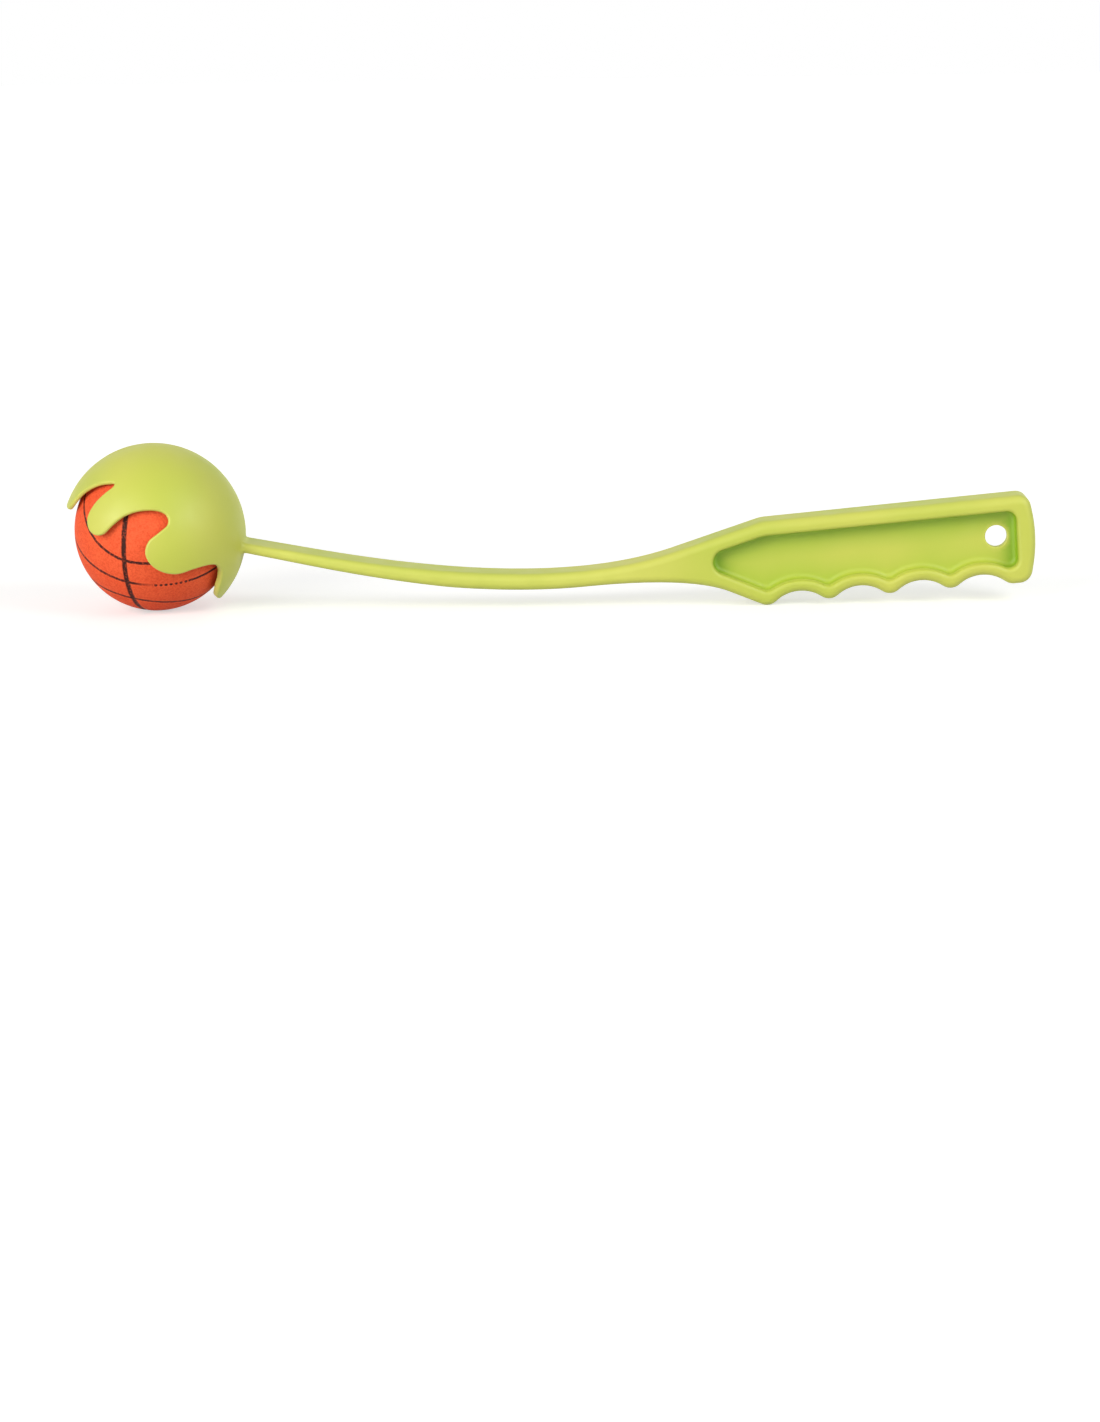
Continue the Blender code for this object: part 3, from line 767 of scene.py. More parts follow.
def build_cup(skin, cup, sizes, foot):
    """The near half of the cup: lip, outside with the arm's foot on its edge, and inside."""
    rays, inward = lip_edge(cup, sizes.spacing * LIP_SPACING)

    def lip_row(into, depth, light, inside=False):
        """A row along the lip, this far into the fingers and this deep under the outside or the inside."""
        places = []
        for edge_ray, into_finger in zip(rays, inward):
            ray = on_sphere(edge_ray, into_finger, into / cup.outer)
            places.append(cup.centre + ray * (cup.inside(ray) + depth if inside else cup.outer - depth))
        return skin.row(places, light)

    rows = [lip_row(sizes.lip_outer + SUPPORT, 0.0, 0.0)]
    # The lip's rounds carry painted glow: growing over the outer round, full over the inner one
    for share, sine, cosine in quarter():
        rows.append(lip_row(sizes.lip_outer * (1 - sine), sizes.lip_outer * (1 - cosine), share))
    for _, sine, cosine in quarter():
        rows.append(lip_row(sizes.lip_inner * (1 - cosine), sizes.lip_inner * (1 - sine), 1.0, inside=True))
    rows.append(lip_row(sizes.lip_inner + SUPPORT, 0.0, 0.0, inside=True))
    skin.strips(rows)
    edge, inner_edge = rows[0], rows[-1]

    def dome(border, centre, radius):
        """A patch over a sphere, inside a border."""
        skin.patch(border, [], dome_points(cup, centre, radius, sizes.spacing),
                   lambda place: cup.flat((place - centre).normalized()))

    below = skin.row(meridian(cup, cup.centre, cup.outer, edge[-1].co, foot[-1].co, sizes.spacing))
    above = skin.row(meridian(cup, cup.centre, cup.outer, foot[0].co, edge[0].co, sizes.spacing))
    dome(edge + below + foot[::-1] + above, cup.centre, cup.outer)
    ends = inner_edge[-1].co, inner_edge[0].co
    back = skin.row(meridian(cup, cup.inner_centre, cup.inner, *ends, sizes.spacing))
    dome(inner_edge + back, cup.inner_centre, cup.inner)


def edge_radii(arm, grip, outline, normals, shoulder):
    """The edge's radius at each point: the arm's, then the grip's, which is larger on top."""
    span = shoulder.x - outline[0].x
    radii = []
    for point, normal in zip(outline, normals):
        grip_edge = grip.edge + (grip.top_edge - grip.edge) * max(0.0, -normal.y) ** 2
        arm_edge = min(arm.edge, arm_thickness(arm, point.x - outline[0].x, span) * LARGEST_EDGE_SHARE)
        radii.append(arm_edge + (grip_edge - arm_edge) * clamped((point.x - shoulder.x) / TOP_EDGE_RUN + 1))
    return radii


def side_points(side_edge, half, spacing):
    """Evenly spread points over the box round arm and grip, in the plane of their side."""
    along, up = [vert.co.x for vert in side_edge], [vert.co.z for vert in side_edge]
    points = []
    rows = 0
    z = min(up)
    while z < max(up):
        x = min(along) + (spacing / 2 if rows % 2 else 0)
        while x < max(along):
            points.append((Vector((x, -half, z)), spacing))
            x += spacing
        z += spacing * FILL_ROW
        rows += 1
    return points


def tint_arm(skin, grip, outline, shoulder):
    """Paints light on the thin arm's sides with some of the edge colour, which fades towards the cup and
    the grip.
    """
    light = bpy.context.scene.thrower_finish.thin_light
    for vert in skin.cage.verts:
        thin = clamped((shoulder.x - vert.co.x) / THIN_RUN - 1)
        thin *= clamped((vert.co.x - outline[0].x) / OVERRUN + 1)
        side = clamped((-vert.co.y - grip.width / 2) / grip.edge + 1)
        vert[skin.painted_edge_light] = max(vert[skin.painted_edge_light], light * thin * side)


def build_strip(skin, cup, arm, grip):
    """The near half of arm and grip, down to the foot on the cup. Returns the foot's vertices."""
    half = grip.width / 2
    outline, shoulder = strip_outline(cup, arm, grip)
    outline = even_points(trimmed(outline, ARM_CUT), grip.spacing)
    normals = inward_normals(outline)
    radii = edge_radii(arm, grip, outline, normals, shoulder)
    rows = []
    wall_steps = max(2, round((half - grip.edge) / grip.spacing))
    for step in range(wall_steps):
        share = -step / wall_steps
        places = [Vector((at.x, share * (half - radius), at.y)) for at, radius in zip(outline, radii)]
        rows.append(skin.row(places))

    for _, sine, cosine in quarter():
        places = []
        for point, normal, radius in zip(outline, normals, radii):
            at = point + normal * radius * (1 - cosine)
            places.append(Vector((at.x, -(half - radius + radius * sine), at.y)))
        # painted highlight along the round edge
        rows.append(skin.row(places, RIM_LIGHT * 2 * sine * cosine))  # strongest half way round
    places = []
    for point, normal, radius in zip(outline, normals, radii):
        at = point + normal * (radius + SUPPORT * radius / grip.edge)
        places.append(Vector((at.x, -half, at.y)))
    rows.append(skin.row(places))
    skin.strips(rows)
    side_edge = rows[-1]
    top_end, low_end = side_edge[0].co, side_edge[-1].co
    shares = [(step + 1) / (END_POINTS + 1) for step in range(END_POINTS)]
    end_column = skin.row([low_end.lerp(top_end, share) for share in shares])
    recess = recess_rows(skin, grip, shoulder, half)
    fill = side_points(side_edge, half, grip.spacing * FILL_SPACING)
    skin.patch(side_edge + end_column, [recess[0]], fill, from_side)
    hole = hole_rows(skin, grip, shoulder)
    fill = [(Vector((place.x, -grip.web / 2, place.z)), gap) for place, gap in fill]
    # The recess's painted shade fades over the web's floor
    skin.patch(recess[-1], [hole], fill, from_side, PAINTED_SHADE_RUN)
    section = [row[0] for row in rows] + end_column[::-1] + [row[-1] for row in rows[::-1]]
    foot = root_fillet(skin, cup, arm, section, outline)
    tint_arm(skin, grip, outline, shoulder)
    return foot


def trimmed(outline, start):
    """The open outline without what lies nearer to the cup than start past its first point."""
    limit = outline[0].x + start
    first = next(index for index, point in enumerate(outline) if point.x > limit)
    share = (limit - outline[first - 1].x) / (outline[first].x - outline[first - 1].x)
    head = outline[first - 1].lerp(outline[first], share)
    last = len(outline) - next(index for index, point in enumerate(outline[::-1]) if point.x > limit) - 1
    share = (limit - outline[last].x) / (outline[last + 1].x - outline[last].x)
    tail = outline[last].lerp(outline[last + 1], share)
    return [head] + outline[first : last + 1] + [tail]


def recess_rows(skin, grip, shoulder, half):
    """The recess's rounded mouth, its wall and the fillet round its floor, with painted shade on them and
    painted light on the lower wall.
    """
    corners = place_grip(grip, shoulder, recess_outline(grip))
    outline = even_points(corners, grip.spacing * RECESS_SPACING, closed=True)
    normals = inward_normals(outline, closed=True)
    mouth, fillet, floor = grip.recess_edge, grip.floor_fillet, grip.web / 2
    wall = half - mouth - floor - fillet
    # Each step of the profile: inset, depth, share of painted edge light, share of painted shade
    profile = [(-mouth - SUPPORT, half, 0.0, 0.0)]
    for share, sine, cosine in quarter():
        # painted highlight along the mouth's round edge
        light = RIM_LIGHT * 2 * sine * cosine  # strongest half way round
        profile.append((-mouth * (1 - sine), half - mouth * (1 - cosine), light, EDGE_PAINTED_SHADE * share))
    for step in range(1, WALL_STEPS):
        share = step / WALL_STEPS
        profile.append((0.0, half - mouth - wall * share, 0.0, EDGE_PAINTED_SHADE + (1 - EDGE_PAINTED_SHADE) * share))
    for _, sine, cosine in quarter():
        profile.append((fillet * (1 - cosine), floor + fillet * (1 - sine), 0.0, 1.0))
    profile.append((fillet + SUPPORT, floor, 0.0, 1.0))
    front, end = min(point.x for point in outline), max(point.x for point in outline)
    # Painted shade along the outline: most under the top rim and towards the ends, less along the lower
    # wall
    shade = []
    for point, normal in zip(outline, normals):
        facing = abs(normal.x) ** END_POWER
        side = facing + (1 - facing) * (PAINTED_SHADE_AT_TOP if normal.y < 0 else PAINTED_SHADE_BELOW)
        shade.append(max(side, 1 - min(end - point.x, point.x - front) / PAINTED_SHADE_RUN))
    rows = []
    for inset, depth, light, deep in profile:
        places = [Vector((p.x + n.x * inset, -depth, p.y + n.y * inset)) for p, n in zip(outline, normals)]
        row = skin.row(places, light)
        for vert, share, normal in zip(row, shade, normals):
            low = max(0.0, normal.y)
            # painted shade, kept off the lower wall that faces up
            vert[skin.deep] = share * (deep + (deep**LOW_POWER - deep) * low)
            if EDGE_PAINTED_SHADE <= deep < 1:  # on the wall, between its round edge and its fillet
                # painted light on the lower wall, which faces up
                vert[skin.painted_edge_light] = max(light, LOW_WALL_LIGHT * low)
        rows.append(row)
    skin.strips(rows, closed=True)
    return rows


def hole_rows(skin, grip, shoulder):
    """The rounded edge and wall of the hanging hole, from the web's face to its mid-plane."""
    centre = place_grip(grip, shoulder, [Vector((grip.length - grip.hole_from_end, grip.hole_from_top))])[0]
    radius, edge, floor = grip.hole / 2, grip.hole_edge, grip.web / 2
    count = round(2 * math.pi * radius / (grip.spacing * HOLE_SPACING))
    profile = [(radius + edge + SUPPORT, floor, 0.0)]
    # The hole's round edge carries a painted highlight
    for _, sine, cosine in quarter():
        profile.append((radius + edge * (1 - sine), floor - edge * (1 - cosine), HOLE_LIGHT))
    profile.append((radius, 0.0, 0.0))
    rows = []
    for reach, depth, light in profile:
        places = []
        for step in range(count):
            spoke = heading(2 * math.pi * step / count) * reach
            places.append(Vector((centre.x + spoke.x, -depth, centre.y + spoke.y)))
        rows.append(skin.row(places, light))
    skin.strips(rows, closed=True)
    return rows[0]


def root_fillet(skin, cup, arm, section, outline):
    """Carries the arm's end section on to the cup: straight runs to near the sphere, then a fillet on to
    it, with its own radius at the arm's sides, above it and below it. Returns the foot on the sphere."""
    top_run = (outline[0] - outline[1]).normalized()
    low_run = (outline[-1] - outline[-2]).normalized()
    low, high = outline[-1].y, outline[0].y
    touches, feet, starts = [], [], []
    columns = [vert.co.copy() for vert in section]
    normals = section_normals(columns, top_run)
    for place, outward in zip(columns, normals):
        share = clamped((place.z - low) / (high - low))
        run = low_run.lerp(top_run, share).normalized()
        run = Vector((run.x, 0, run.y))
        level_fillet = arm.low_fillet if outward.z < 0 else arm.top_fillet
        fillet = arm.side_fillet * outward.y**2 + level_fillet * (1 - outward.y**2)
        touch = reach_sphere(place, run, cup.centre, cup.outer)
        start = reach_sphere(place, run, cup.centre, cup.outer + fillet)
        up = (touch - cup.centre).normalized()
        away = (outward - up * outward.dot(up)).normalized()
        foot = cup.centre + on_sphere(up, away, fillet / cup.outer) * cup.outer
        starts.append(start)
        touches.append(touch)
        feet.append(foot)
    rows = [section]
    for step in range(1, ROOT_STEPS + 1):
        share = step / ROOT_STEPS
        rows.append(skin.row([place.lerp(start, share) for place, start in zip(columns, starts)]))
    for step in range(1, FILLET_STEPS + 1):
        places = [blend(*corners, step / FILLET_STEPS) for corners in zip(starts, touches, feet)]
        rows.append(skin.row(places))
    skin.strips(rows)
    return rows[-1]


def section_normals(columns, run):
    """Outward normals of the arm's half section, from its top mid-line round its side to its lower one."""
    axis = Vector((run.x, 0, run.y))
    normals = []
    for along in along_line(columns):
        along -= axis * along.dot(axis)
        normals.append(axis.cross(along).normalized())
    return normals


def reach_sphere(place, run, centre, radius):
    """Where a line from outside a sphere first meets it."""
    offset = place - centre
    along = offset.dot(run)
    return place + run * (-along - math.sqrt(along**2 - offset.length_squared + radius**2))


def close_skin(skin, name):
    """Mirrors the near half over the mid-plane, welds the halves and turns every face outwards."""
    cage = skin.cage
    half = list(cage.verts) + list(cage.edges) + list(cage.faces)
    copy = bmesh.ops.duplicate(cage, geom=half)["geom"]
    turned = [item for item in copy if isinstance(item, bmesh.types.BMVert)]
    bmesh.ops.scale(cage, vec=(1, -1, 1), verts=turned)
    bmesh.ops.reverse_faces(cage, faces=[item for item in copy if isinstance(item, bmesh.types.BMFace)])
    bmesh.ops.remove_doubles(cage, verts=cage.verts, dist=WELD)
    loose = [vert for vert in cage.verts if not vert.link_faces]
    bmesh.ops.delete(cage, geom=loose, context="VERTS")
    bmesh.ops.recalc_face_normals(cage, faces=cage.faces)
    bmesh.ops.translate(cage, vec=(BALL_CENTRE.x, 0, 0), verts=cage.verts)
    open_edges = [edge for edge in cage.edges if len(edge.link_faces) != 2]
    if open_edges:
        where = open_edges[0].verts[0].co
        raise RuntimeError(f"{name} has {len(open_edges)} open edges, the first near {tuple(where)}")
    for face in cage.faces:
        face.smooth = True
    mesh = bpy.data.meshes.new(name)
    cage.to_mesh(mesh)
    cage.free()
    piece = bpy.data.objects.new(name, mesh)
    bpy.context.scene.collection.objects.link(piece)
    return piece


class Wiring:
    """Adds nodes to a tree and joins them."""

    def __init__(self, tree):
        self.tree = tree

    def join(self, value, socket):
        """Links a socket to another one, or gives it a plain value."""
        if isinstance(value, bpy.types.NodeSocket):
            self.tree.links.new(value, socket)
        else:
            socket.default_value = value

    def add(self, kind, inputs=None, **settings):
        """A new node with these settings and inputs."""
        node = self.tree.nodes.new(kind)
        for name, value in settings.items():
            setattr(node, name, value)
        for name, value in (inputs or {}).items():
            self.join(value, node.inputs[name])
        return node

    def math(self, operation, *values):
        return self.add("ShaderNodeMath", dict(enumerate(values)), operation=operation).outputs[0]

    def vector(self, operation, *values):
        return self.add("ShaderNodeVectorMath", dict(enumerate(values)), operation=operation).outputs[0]

    def plus(self, first, second):
        return self.math("ADD", first, second)

    def minus(self, first, second):
        return self.math("SUBTRACT", first, second)

    def times(self, first, second):
        return self.math("MULTIPLY", first, second)

    def dot(self, first, second):
        node = self.add("ShaderNodeVectorMath", {0: first, 1: second}, operation="DOT_PRODUCT")
        return node.outputs["Value"]

    def largest(self, first, *others):
        for value in others:
            first = self.math("MAXIMUM", first, value)
        return first

    def varied(self, share, middle, change):
        """A value that runs from half a change below its middle to half a change above."""
        return self.math("MULTIPLY_ADD", share, change, middle - change / 2)

    def ramp(self, value, low, high, at_low=0.0, at_high=1.0):
        """Runs smoothly from one value below low to another above high."""
        places = {"Value": value, "From Min": low, "From Max": high, "To Min": at_low, "To Max": at_high}
        return self.add("ShaderNodeMapRange", places, interpolation_type="SMOOTHSTEP").outputs["Result"]

    def colour(self, share, first, second):
        """Runs from the first colour to the second."""
        inputs = {MIX_SHARE: share, MIX_FIRST: first, MIX_SECOND: second}
        return self.add("ShaderNodeMix", inputs, data_type="RGBA").outputs[MIX_RESULT]

    def noise(self, vector, size, detail=2.0, seed=0.0):
        """Noise with features of this size, seeded by its fourth coordinate."""
        inputs = {"Vector": vector, "W": seed, "Scale": self.math("DIVIDE", 1.0, size), "Detail": detail}
        return self.add("ShaderNodeTexNoise", inputs, noise_dimensions="4D").outputs["Fac"]

    def reading(self, name):
        """What the mesh says under this name."""
        return self.add("ShaderNodeAttribute", attribute_name=name).outputs["Fac"]

    def group(self, tree, **inputs):
        """A node group with these inputs, whose names are in lower case with underscores."""
        named = {name.replace("_", " ").capitalize(): value for name, value in inputs.items()}
        return self.add("ShaderNodeGroup", named, node_tree=tree).outputs


def group_sockets(tree, inputs, outputs):
    """Gives a node group its named sockets. Each is a name with a kind."""
    for name, kind in inputs:
        tree.interface.new_socket(name, in_out="INPUT", socket_type=kind)
    for name, kind in outputs:
        tree.interface.new_socket(name, in_out="OUTPUT", socket_type=kind)


def shader_group(name, inputs, outputs):
    """A shader node group with number inputs after its Vector. Returns its wiring, inputs and outputs."""
    tree = bpy.data.node_groups.new(name, "ShaderNodeTree")
    group_sockets(tree, [("Vector", "NodeSocketVector")] + [(item, "NodeSocketFloat") for item in inputs],
                  [(item, "NodeSocketFloat") for item in outputs])
    wires = Wiring(tree)
    return wires, wires.add("NodeGroupInput").outputs, wires.add("NodeGroupOutput").inputs


def fine_grain():
    """Grain of a moulded surface: a height for its relief and a shade for its colour."""
    wires, given, result = shader_group("fine_grain", ("Size", "Seed"), ("Height", "Shade"))
    coarse = wires.noise(given["Vector"], given["Size"], 2.0, given["Seed"])
    fine = wires.noise(given["Vector"], wires.times(given["Size"], FINE_SIZE), 1.0, given["Seed"])
    height = wires.plus(wires.times(coarse, COARSE_SHARE), wires.times(fine, 1 - COARSE_SHARE))
    wires.join(height, result["Height"])
    wires.join(wires.ramp(height, *GRAIN_RANGE), result["Shade"])
    return wires.tree


def soft_mottle():
    """Broad soft places where a colour or a gloss differs a little."""
    wires, given, result = shader_group("soft_mottle", ("Size", "Seed"), ("Shade",))
    broad = wires.noise(given["Vector"], given["Size"], 1.0, given["Seed"])
    wires.join(wires.ramp(broad, *MOTTLE_RANGE), result["Shade"])
    return wires.tree


def printed_line():
    """Ink along a line: its edge wanders a little, and thin places let the ground through."""
    inputs = "Distance", "Half width", "Ragged", "Worn"
    wires, given, result = shader_group("printed_line", inputs, ("Ink",))
    wander = wires.minus(wires.noise(given["Vector"], WANDER_SIZE, 2.0), 0.5)
    distance = wires.plus(given["Distance"], wires.times(wander, given["Ragged"]))
    inner, outer = (wires.times(given["Half width"], share) for share in LINE_EDGE)
    line = wires.ramp(distance, inner, outer, 1.0, 0.0)
    thin = wires.ramp(wires.noise(given["Vector"], WORN_SIZE, 1.0, WORN_SEED), *WORN_RANGE)
    kept = wires.minus(1.0, wires.times(thin, given["Worn"]))
    wires.join(wires.times(line, kept), result["Ink"])
    return wires.tree


def node_material(name):
    """A new material with its wiring, its shader and its object coordinates."""
    material = bpy.data.materials.new(name)
    material.use_nodes = True
    wires = Wiring(material.node_tree)
    place = wires.add("ShaderNodeTexCoord").outputs["Object"]
    return material, wires, material.node_tree.nodes["Principled BSDF"], place


def dress(wires, shader, colour, roughness, shine, height, relief):
    """Gives a material's shader its colour, roughness, gloss and relief."""
    wires.join(colour, shader.inputs["Base Color"])
    wires.join(roughness, shader.inputs["Roughness"])
    shader.inputs["Specular IOR Level"].default_value = shine
    bump = wires.add("ShaderNodeBump", {"Height": height, "Distance": relief})
    wires.join(bump.outputs["Normal"], shader.inputs["Normal"])


def with_alpha(colour):
    return (*colour, 1.0)


def satin_plastic(finish, grain, mottle):
    """Satin lime plastic, with painted glow and highlight, lighter and yellower, on its rounded edges and
    the thin arm's sides, and painted shade, darker and greener, in the recess."""
    material, wires, shader, place = node_material("satin_lime_plastic")
    broad = wires.group(mottle, vector=place, size=BROAD_PLACES, seed=BROAD_SEED)["Shade"]
    small = wires.group(mottle, vector=place, size=SMALL_PLACES, seed=SMALL_SEED)["Shade"]
    texture = wires.group(grain, vector=place, size=finish.plastic_grain, seed=PLASTIC_SEED)
    ground = wires.colour(broad, with_alpha(finish.plastic), with_alpha(finish.plastic_cool))
    # painted shade in the recess
    depth = wires.times(wires.reading("deep"), finish.deep_share)
    ground = wires.colour(depth, ground, with_alpha(finish.plastic_deep))
    # painted glow and highlight on round edges and the thin arm
    tint = wires.times(wires.reading("painted_edge_light"), wires.varied(small, finish.edge_share, EDGE_CHANGE))
    colour = wires.colour(tint, ground, with_alpha(finish.plastic_edge))
    roughness = wires.varied(small, finish.satin, finish.satin_change)
    dress(wires, shader, colour, roughness, finish.satin_shine, texture["Height"], finish.plastic_relief)
    return material


def foam_rubber(finish, ball, grain, mottle, line):
    """Grainy foam rubber with dark lines printed along its grooves."""
    material, wires, shader, place = node_material("printed_foam_rubber")
    texture = wires.group(grain, vector=place, size=finish.foam_grain, seed=FOAM_SEED)
    broad = wires.group(mottle, vector=place, size=TONE_PLACES, seed=TONE_SEED)["Shade"]
    pores = wires.times(wires.minus(1.0, texture["Shade"]), PORE_SHARE)
    tone = wires.math("MULTIPLY_ADD", broad, TONE_SHARE, pores)
    ground = wires.colour(tone, with_alpha(finish.foam), with_alpha(finish.foam_dark))

    def ink_along(distance, half_width, worn):
        inputs = {"distance": distance, "half_width": half_width, "ragged": RAGGED, "worn": worn}
        return wires.group(line, vector=place, **inputs)["Ink"]

    around, seam = wires.reading("around_seam"), wires.reading("seam_line")
    dots_past = wires.math("DIVIDE", wires.minus(around, ball.dots_start), ball.dot_pitch)
    from_dot = wires.minus(wires.math("FRACT", dots_past), 0.5)
    along = wires.times(from_dot, ball.dot_pitch * BALL_RADIUS)
    to_dot = wires.math("SQRT", wires.plus(wires.math("POWER", along, 2.0), wires.math("POWER", seam, 2.0)))
    before_end = wires.math("LESS_THAN", around, ball.dots_end)
    fade = wires.times(wires.ramp(around, ball.fade_start, ball.dots_start, 0.0, MOST_FADE), before_end)
    dotted = wires.times(wires.math("GREATER_THAN", around, ball.dots_start), before_end)
    solid = wires.times(wires.minus(1.0, dotted), wires.minus(1.0, fade))
    middle = wires.times(ink_along(seam, ball.thin_line, MIDDLE_WORN), solid)
    dots = wires.times(ink_along(to_dot, ball.dot, DOTS_WORN), dotted)
    ovals = ink_along(wires.reading("oval_line"), ball.thin_line, OVALS_WORN)
    thick = ink_along(wires.reading("main_line"), ball.main_line, THICK_WORN)
    thin = wires.largest(middle, dots, ovals)
    ink = wires.largest(thin, thick)
    full_ink = with_alpha(finish.ink)
    ink_colour = wires.colour(thick, wires.colour(thin, with_alpha(finish.ink_thin), full_ink), full_ink)
    colour = wires.colour(ink, ground, ink_colour)
    change = finish.ink_roughness - finish.foam_roughness
    roughness = wires.math("MULTIPLY_ADD", ink, change, finish.foam_roughness)
    dress(wires, shader, colour, roughness, finish.foam_shine, texture["Height"], finish.foam_relief)
    return material


def line_distances(wires, given):
    """Distances over the sphere to the thick line, the middle seam line and the ovals, and the angle round
    the seam axis. A line is a great circle. An oval's angle from the seam axis swings as it goes round."""
    ray = wires.vector("NORMALIZE", wires.add("GeometryNodeInputPosition").outputs[0])
    seam = wires.vector("NORMALIZE", given["seam_axis"])
    main = wires.vector("NORMALIZE", given["main_axis"])
    square = wires.vector("CROSS_PRODUCT", seam, wires.vector("CROSS_PRODUCT", main, seam))
    side = wires.vector("NORMALIZE", square)
    front = wires.vector("CROSS_PRODUCT", side, seam)

    def over_sphere(angle):
        return wires.times(wires.math("ABSOLUTE", angle), given["radius"])

    height = wires.dot(ray, seam)
    to_main = over_sphere(wires.math("ARCSINE", wires.dot(ray, main)))
    to_seam = over_sphere(wires.math("ARCSINE", height))
    around = wires.math("ARCTAN2", wires.dot(ray, side), wires.dot(ray, front))
    swing = wires.times(wires.math("COSINE", wires.times(around, 2.0)), given["oval_swing"])
    from_axis = wires.math("ARCCOSINE", wires.math("ABSOLUTE", height))
    oval = wires.plus(given["oval_angle"], swing)
    to_oval = over_sphere(wires.minus(from_axis, oval))
    return ray, {"main_line": to_main, "seam_line": to_seam, "oval_line": to_oval, "around_seam": around}


def ball_tree(material, values):
    """Geometry nodes of the ball: a fine sphere, grooved along its lines and a little uneven, that keeps
    each point's distances to the lines for the print. It has an input for each of the values."""
    tree = bpy.data.node_groups.new("foam_ball_form", "GeometryNodeTree")
    tree.is_modifier = True
    inputs = [(name, SOCKET_KINDS[type(value)]) for name, value in values.items()]
    group_sockets(tree, inputs, [("Geometry", "NodeSocketGeometry")])
    wires = Wiring(tree)
    given = wires.add("NodeGroupInput").outputs
    sphere = {"Radius": given["radius"], "Subdivisions": given["subdivisions"]}
    shape = wires.add("GeometryNodeMeshIcoSphere", sphere)
    ray, distances = line_distances(wires, given)
    for name, value in distances.items():
        inputs = {"Geometry": shape.outputs[0], "Name": name, "Value": value}
        shape = wires.add("GeometryNodeStoreNamedAttribute", inputs, data_type="FLOAT", domain="POINT")

    def groove(line, kind):
        """How deep the groove along a line is at each point."""
        return wires.ramp(distances[line], 0.0, given[kind + "_groove"], given[kind + "_depth"], 0.0)

    def inward(depth):
        """The way towards the middle, this far."""
        inputs = {0: ray, "Scale": wires.times(depth, -1.0)}
        return wires.add("ShaderNodeVectorMath", inputs, operation="SCALE").outputs[0]

    thin_grooves = groove("seam_line", "thin"), groove("oval_line", "thin")
    grooves = wires.largest(groove("main_line", "main"), *thin_grooves)
    place = wires.add("GeometryNodeInputPosition").outputs[0]
    uneven = wires.times(wires.noise(place, given["swell_size"], 1.0, SWELL_SEED), given["swell"])
    steps = (
        ("SetPosition", {"Offset": wires.vector("ADD", inward(grooves), inward(uneven))}),
        ("Transform", {"Translation": given["centre"]}),
        ("SetShadeSmooth", {}),
        ("RealizeInstances", {}),
        ("SetMaterial", {"Material": material}),
    )
    for kind, inputs in steps:
        shape = wires.add("GeometryNode" + kind, {"Geometry": shape.outputs[0], **inputs})
    wires.join(shape.outputs[0], wires.add("NodeGroupOutput").inputs["Geometry"])
    return tree


def grow(name, tree, values):
    """Runs a geometry node tree with these named inputs, and keeps its result as a plain mesh."""
    piece = bpy.data.objects.new(name, bpy.data.meshes.new(name))
    bpy.context.scene.collection.objects.link(piece)
    modifier = piece.modifiers.new("form", "NODES")
    modifier.node_group = tree
    for item in tree.interface.items_tree:
        if item.in_out == "INPUT":
            modifier[item.identifier] = values[item.name]
    graph = bpy.context.evaluated_depsgraph_get()
    shaped = piece.evaluated_get(graph)
    made = bpy.data.meshes.new_from_object(shaped, preserve_all_data_layers=True, depsgraph=graph)
    piece.modifiers.clear()
    piece.data = made
    made.name = name
    return piece


class THROWER_OT_moulding(bpy.types.Operator):
    """Build the cup, arm and grip as one closed skin"""

    bl_idname = "thrower.moulding"
    bl_label = "Moulded thrower"

    def execute(self, context):
        scene = context.scene
        cup = CupShape(scene.thrower_cup)
        skin = Skin()
        foot = build_strip(skin, cup, scene.thrower_arm, scene.thrower_grip)
        build_cup(skin, cup, scene.thrower_cup, foot)
        piece = close_skin(skin, "thrower_skin")
        groups = shared(fine_grain), shared(soft_mottle)
        piece.data.materials.append(satin_plastic(scene.thrower_finish, *groups))
        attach(piece, "thrower")
        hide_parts("thrower")
        return {"FINISHED"}


class THROWER_OT_ball(bpy.types.Operator):
    """Build the foam ball with its grooves and printed lines"""

    bl_idname = "thrower.ball"
    bl_label = "Foam ball"

    def execute(self, context):
        ball = context.scene.thrower_ball
        groups = shared(fine_grain), shared(soft_mottle), shared(printed_line)
        material = foam_rubber(context.scene.thrower_finish, ball, *groups)
        values = {"radius": BALL_RADIUS, "centre": BALL_CENTRE}
        values.update((name, getattr(ball, name)) for name in BALL_FORM)
        piece = grow("foam_ball", ball_tree(material, values), values)
        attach(piece, "ball")
        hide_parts("ball")
        return {"FINISHED"}


def shared(build):
    """A shader node group, built the first time that a material asks for it."""
    return bpy.data.node_groups.get(build.__name__) or build()


def seen_directly(wires):
    """One where a ray comes straight from the camera, a mirror or glass, and zero for plain light."""
    path = wires.add("ShaderNodeLightPath").outputs
    return wires.largest(path["Is Camera Ray"], path["Is Glossy Ray"], path["Is Transmission Ray"])


def place_camera(studio):
    """The camera at the photograph's angle, framed from the ball."""
    camera = bpy.data.objects.new("camera", bpy.data.cameras.new("camera"))
    bpy.context.scene.collection.objects.link(camera)
    bpy.context.scene.camera = camera
    camera.data.sensor_width = SENSOR_WIDTH
    camera.data.lens = studio.lens
    camera.data.clip_end = CAMERA_REACH
    stand = Matrix.Translation((BALL_CENTRE.x, 0, BALL_CENTRE.z)) @ Matrix.Rotation(studio.roll, 4, "Y")
    stand = stand @ Matrix.Translation((studio.across, 0, studio.rise))
    level, up = studio.distance * math.cos(studio.elevation), studio.distance * math.sin(studio.elevation)
    stand = stand @ Matrix.Translation((0, -level, up))
    camera.matrix_world = stand @ Matrix.Rotation(math.pi / 2 - studio.look_down, 4, "X")


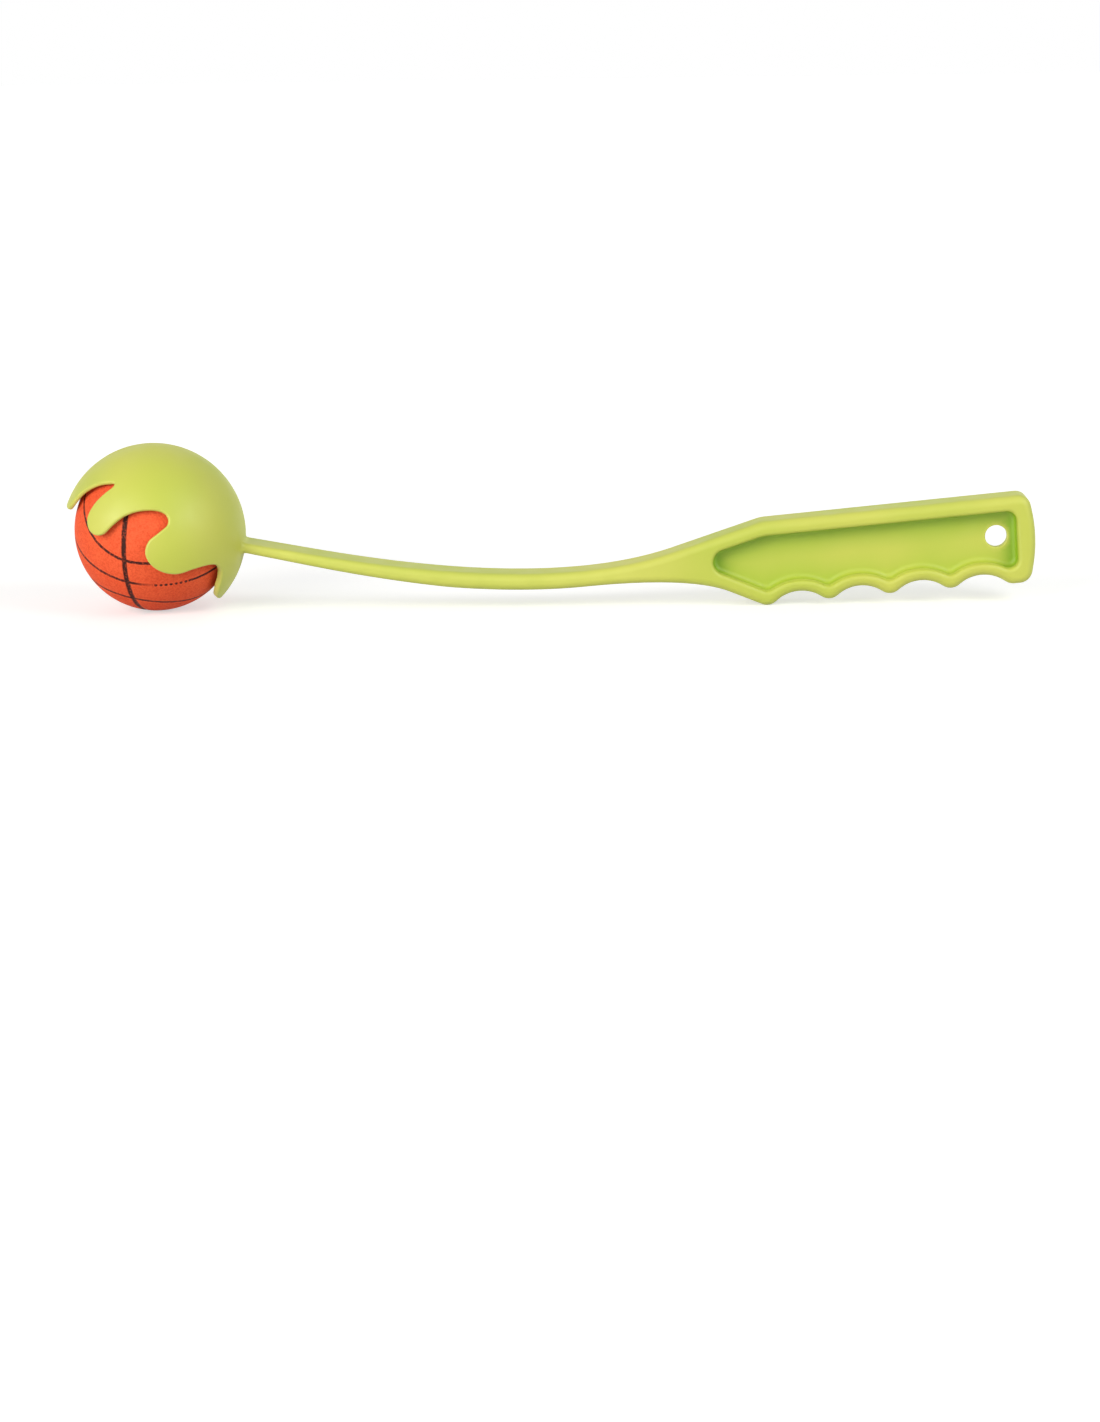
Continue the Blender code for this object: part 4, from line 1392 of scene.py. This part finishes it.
def lay_floor(studio):
    """A pale floor that keeps the object's shadow."""
    bpy.ops.mesh.primitive_plane_add(size=studio.floor, location=(0, 0, 0))
    floor = bpy.context.object
    floor.name = "floor"
    material, wires, shader, place = node_material("pale_floor")
    shader.inputs["Base Color"].default_value = with_alpha(studio.floor_colour)
    shader.inputs["Roughness"].default_value = FLOOR_ROUGHNESS
    shader.inputs["Emission Color"].default_value = WHITE
    away = wires.add("ShaderNodeVectorMath", {0: place}, operation="LENGTH").outputs["Value"]
    lift = wires.ramp(away, studio.near, studio.far, studio.near_lift, studio.far_lift)
    wires.join(wires.times(seen_directly(wires), lift), shader.inputs["Emission Strength"])
    floor.data.materials.append(material)


def light_sky(studio):
    """An even pale sky, which is white where it is seen directly."""
    world = bpy.data.worlds.new("studio")
    bpy.context.scene.world = world
    world.use_nodes = True
    wires = Wiring(world.node_tree)
    sky = world.node_tree.nodes["Background"].inputs
    wires.join(wires.ramp(seen_directly(wires), 0.0, 1.0, studio.sky, 1.0), sky["Strength"])
    sky["Color"].default_value = WHITE


def hang_lamps():
    """Soft lamps round the object's middle."""
    for name, azimuth, height, distance, side, power, colour, shines in LAMPS:
        lamp = bpy.data.objects.new(name, bpy.data.lights.new(name, "AREA"))
        bpy.context.scene.collection.objects.link(lamp)
        lamp.data.size = side
        lamp.data.energy = power
        lamp.data.color = colour
        lamp.visible_camera = False
        lamp.visible_glossy = shines
        middle = Matrix.Translation((BALL_CENTRE.x / 2, 0, BALL_CENTRE.z))
        around = Matrix.Rotation(azimuth, 4, "Z") @ Matrix.Rotation(math.pi / 2 - height, 4, "X")
        lamp.matrix_world = middle @ around @ Matrix.Translation((0, 0, distance))


class THROWER_OT_studio(bpy.types.Operator):
    """Set the camera, the floor, the sky and the lamps"""

    bl_idname = "thrower.studio"
    bl_label = "Studio"

    def execute(self, context):
        studio = context.scene.thrower_studio
        place_camera(studio)
        lay_floor(studio)
        light_sky(studio)
        hang_lamps()
        context.scene.view_settings.view_transform = "Standard"
        return {"FINISHED"}


OPERATORS = (THROWER_OT_moulding, THROWER_OT_ball, THROWER_OT_studio)


class THROWER_PT_build(bpy.types.Panel):
    """The sizes, the finishes and the steps of the ball thrower"""

    bl_idname = "THROWER_PT_build"
    bl_label = "Ball Thrower"
    bl_space_type = "VIEW_3D"
    bl_region_type = "UI"
    bl_category = "Ball Thrower"

    def draw(self, context):
        for operator in OPERATORS:
            self.layout.operator(operator.bl_idname)
        for name, group in SIZE_GROUPS.items():
            box = self.layout.box()
            box.label(text=group.__doc__)
            for item in group.__annotations__:
                box.prop(getattr(context.scene, name), item)


CLASSES = (*SIZE_GROUPS.values(), *OPERATORS, THROWER_PT_build)


def register():
    for item in CLASSES:
        bpy.utils.register_class(item)
    for name, group in SIZE_GROUPS.items():
        setattr(bpy.types.Scene, name, bpy.props.PointerProperty(type=group))


def unregister():
    for name in SIZE_GROUPS:
        delattr(bpy.types.Scene, name)
    for item in reversed(CLASSES):
        bpy.utils.unregister_class(item)


def main():
    register()
    bpy.ops.thrower.moulding()
    bpy.ops.thrower.ball()
    bpy.ops.thrower.studio()
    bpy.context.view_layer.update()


if __name__ == "__main__":
    main()
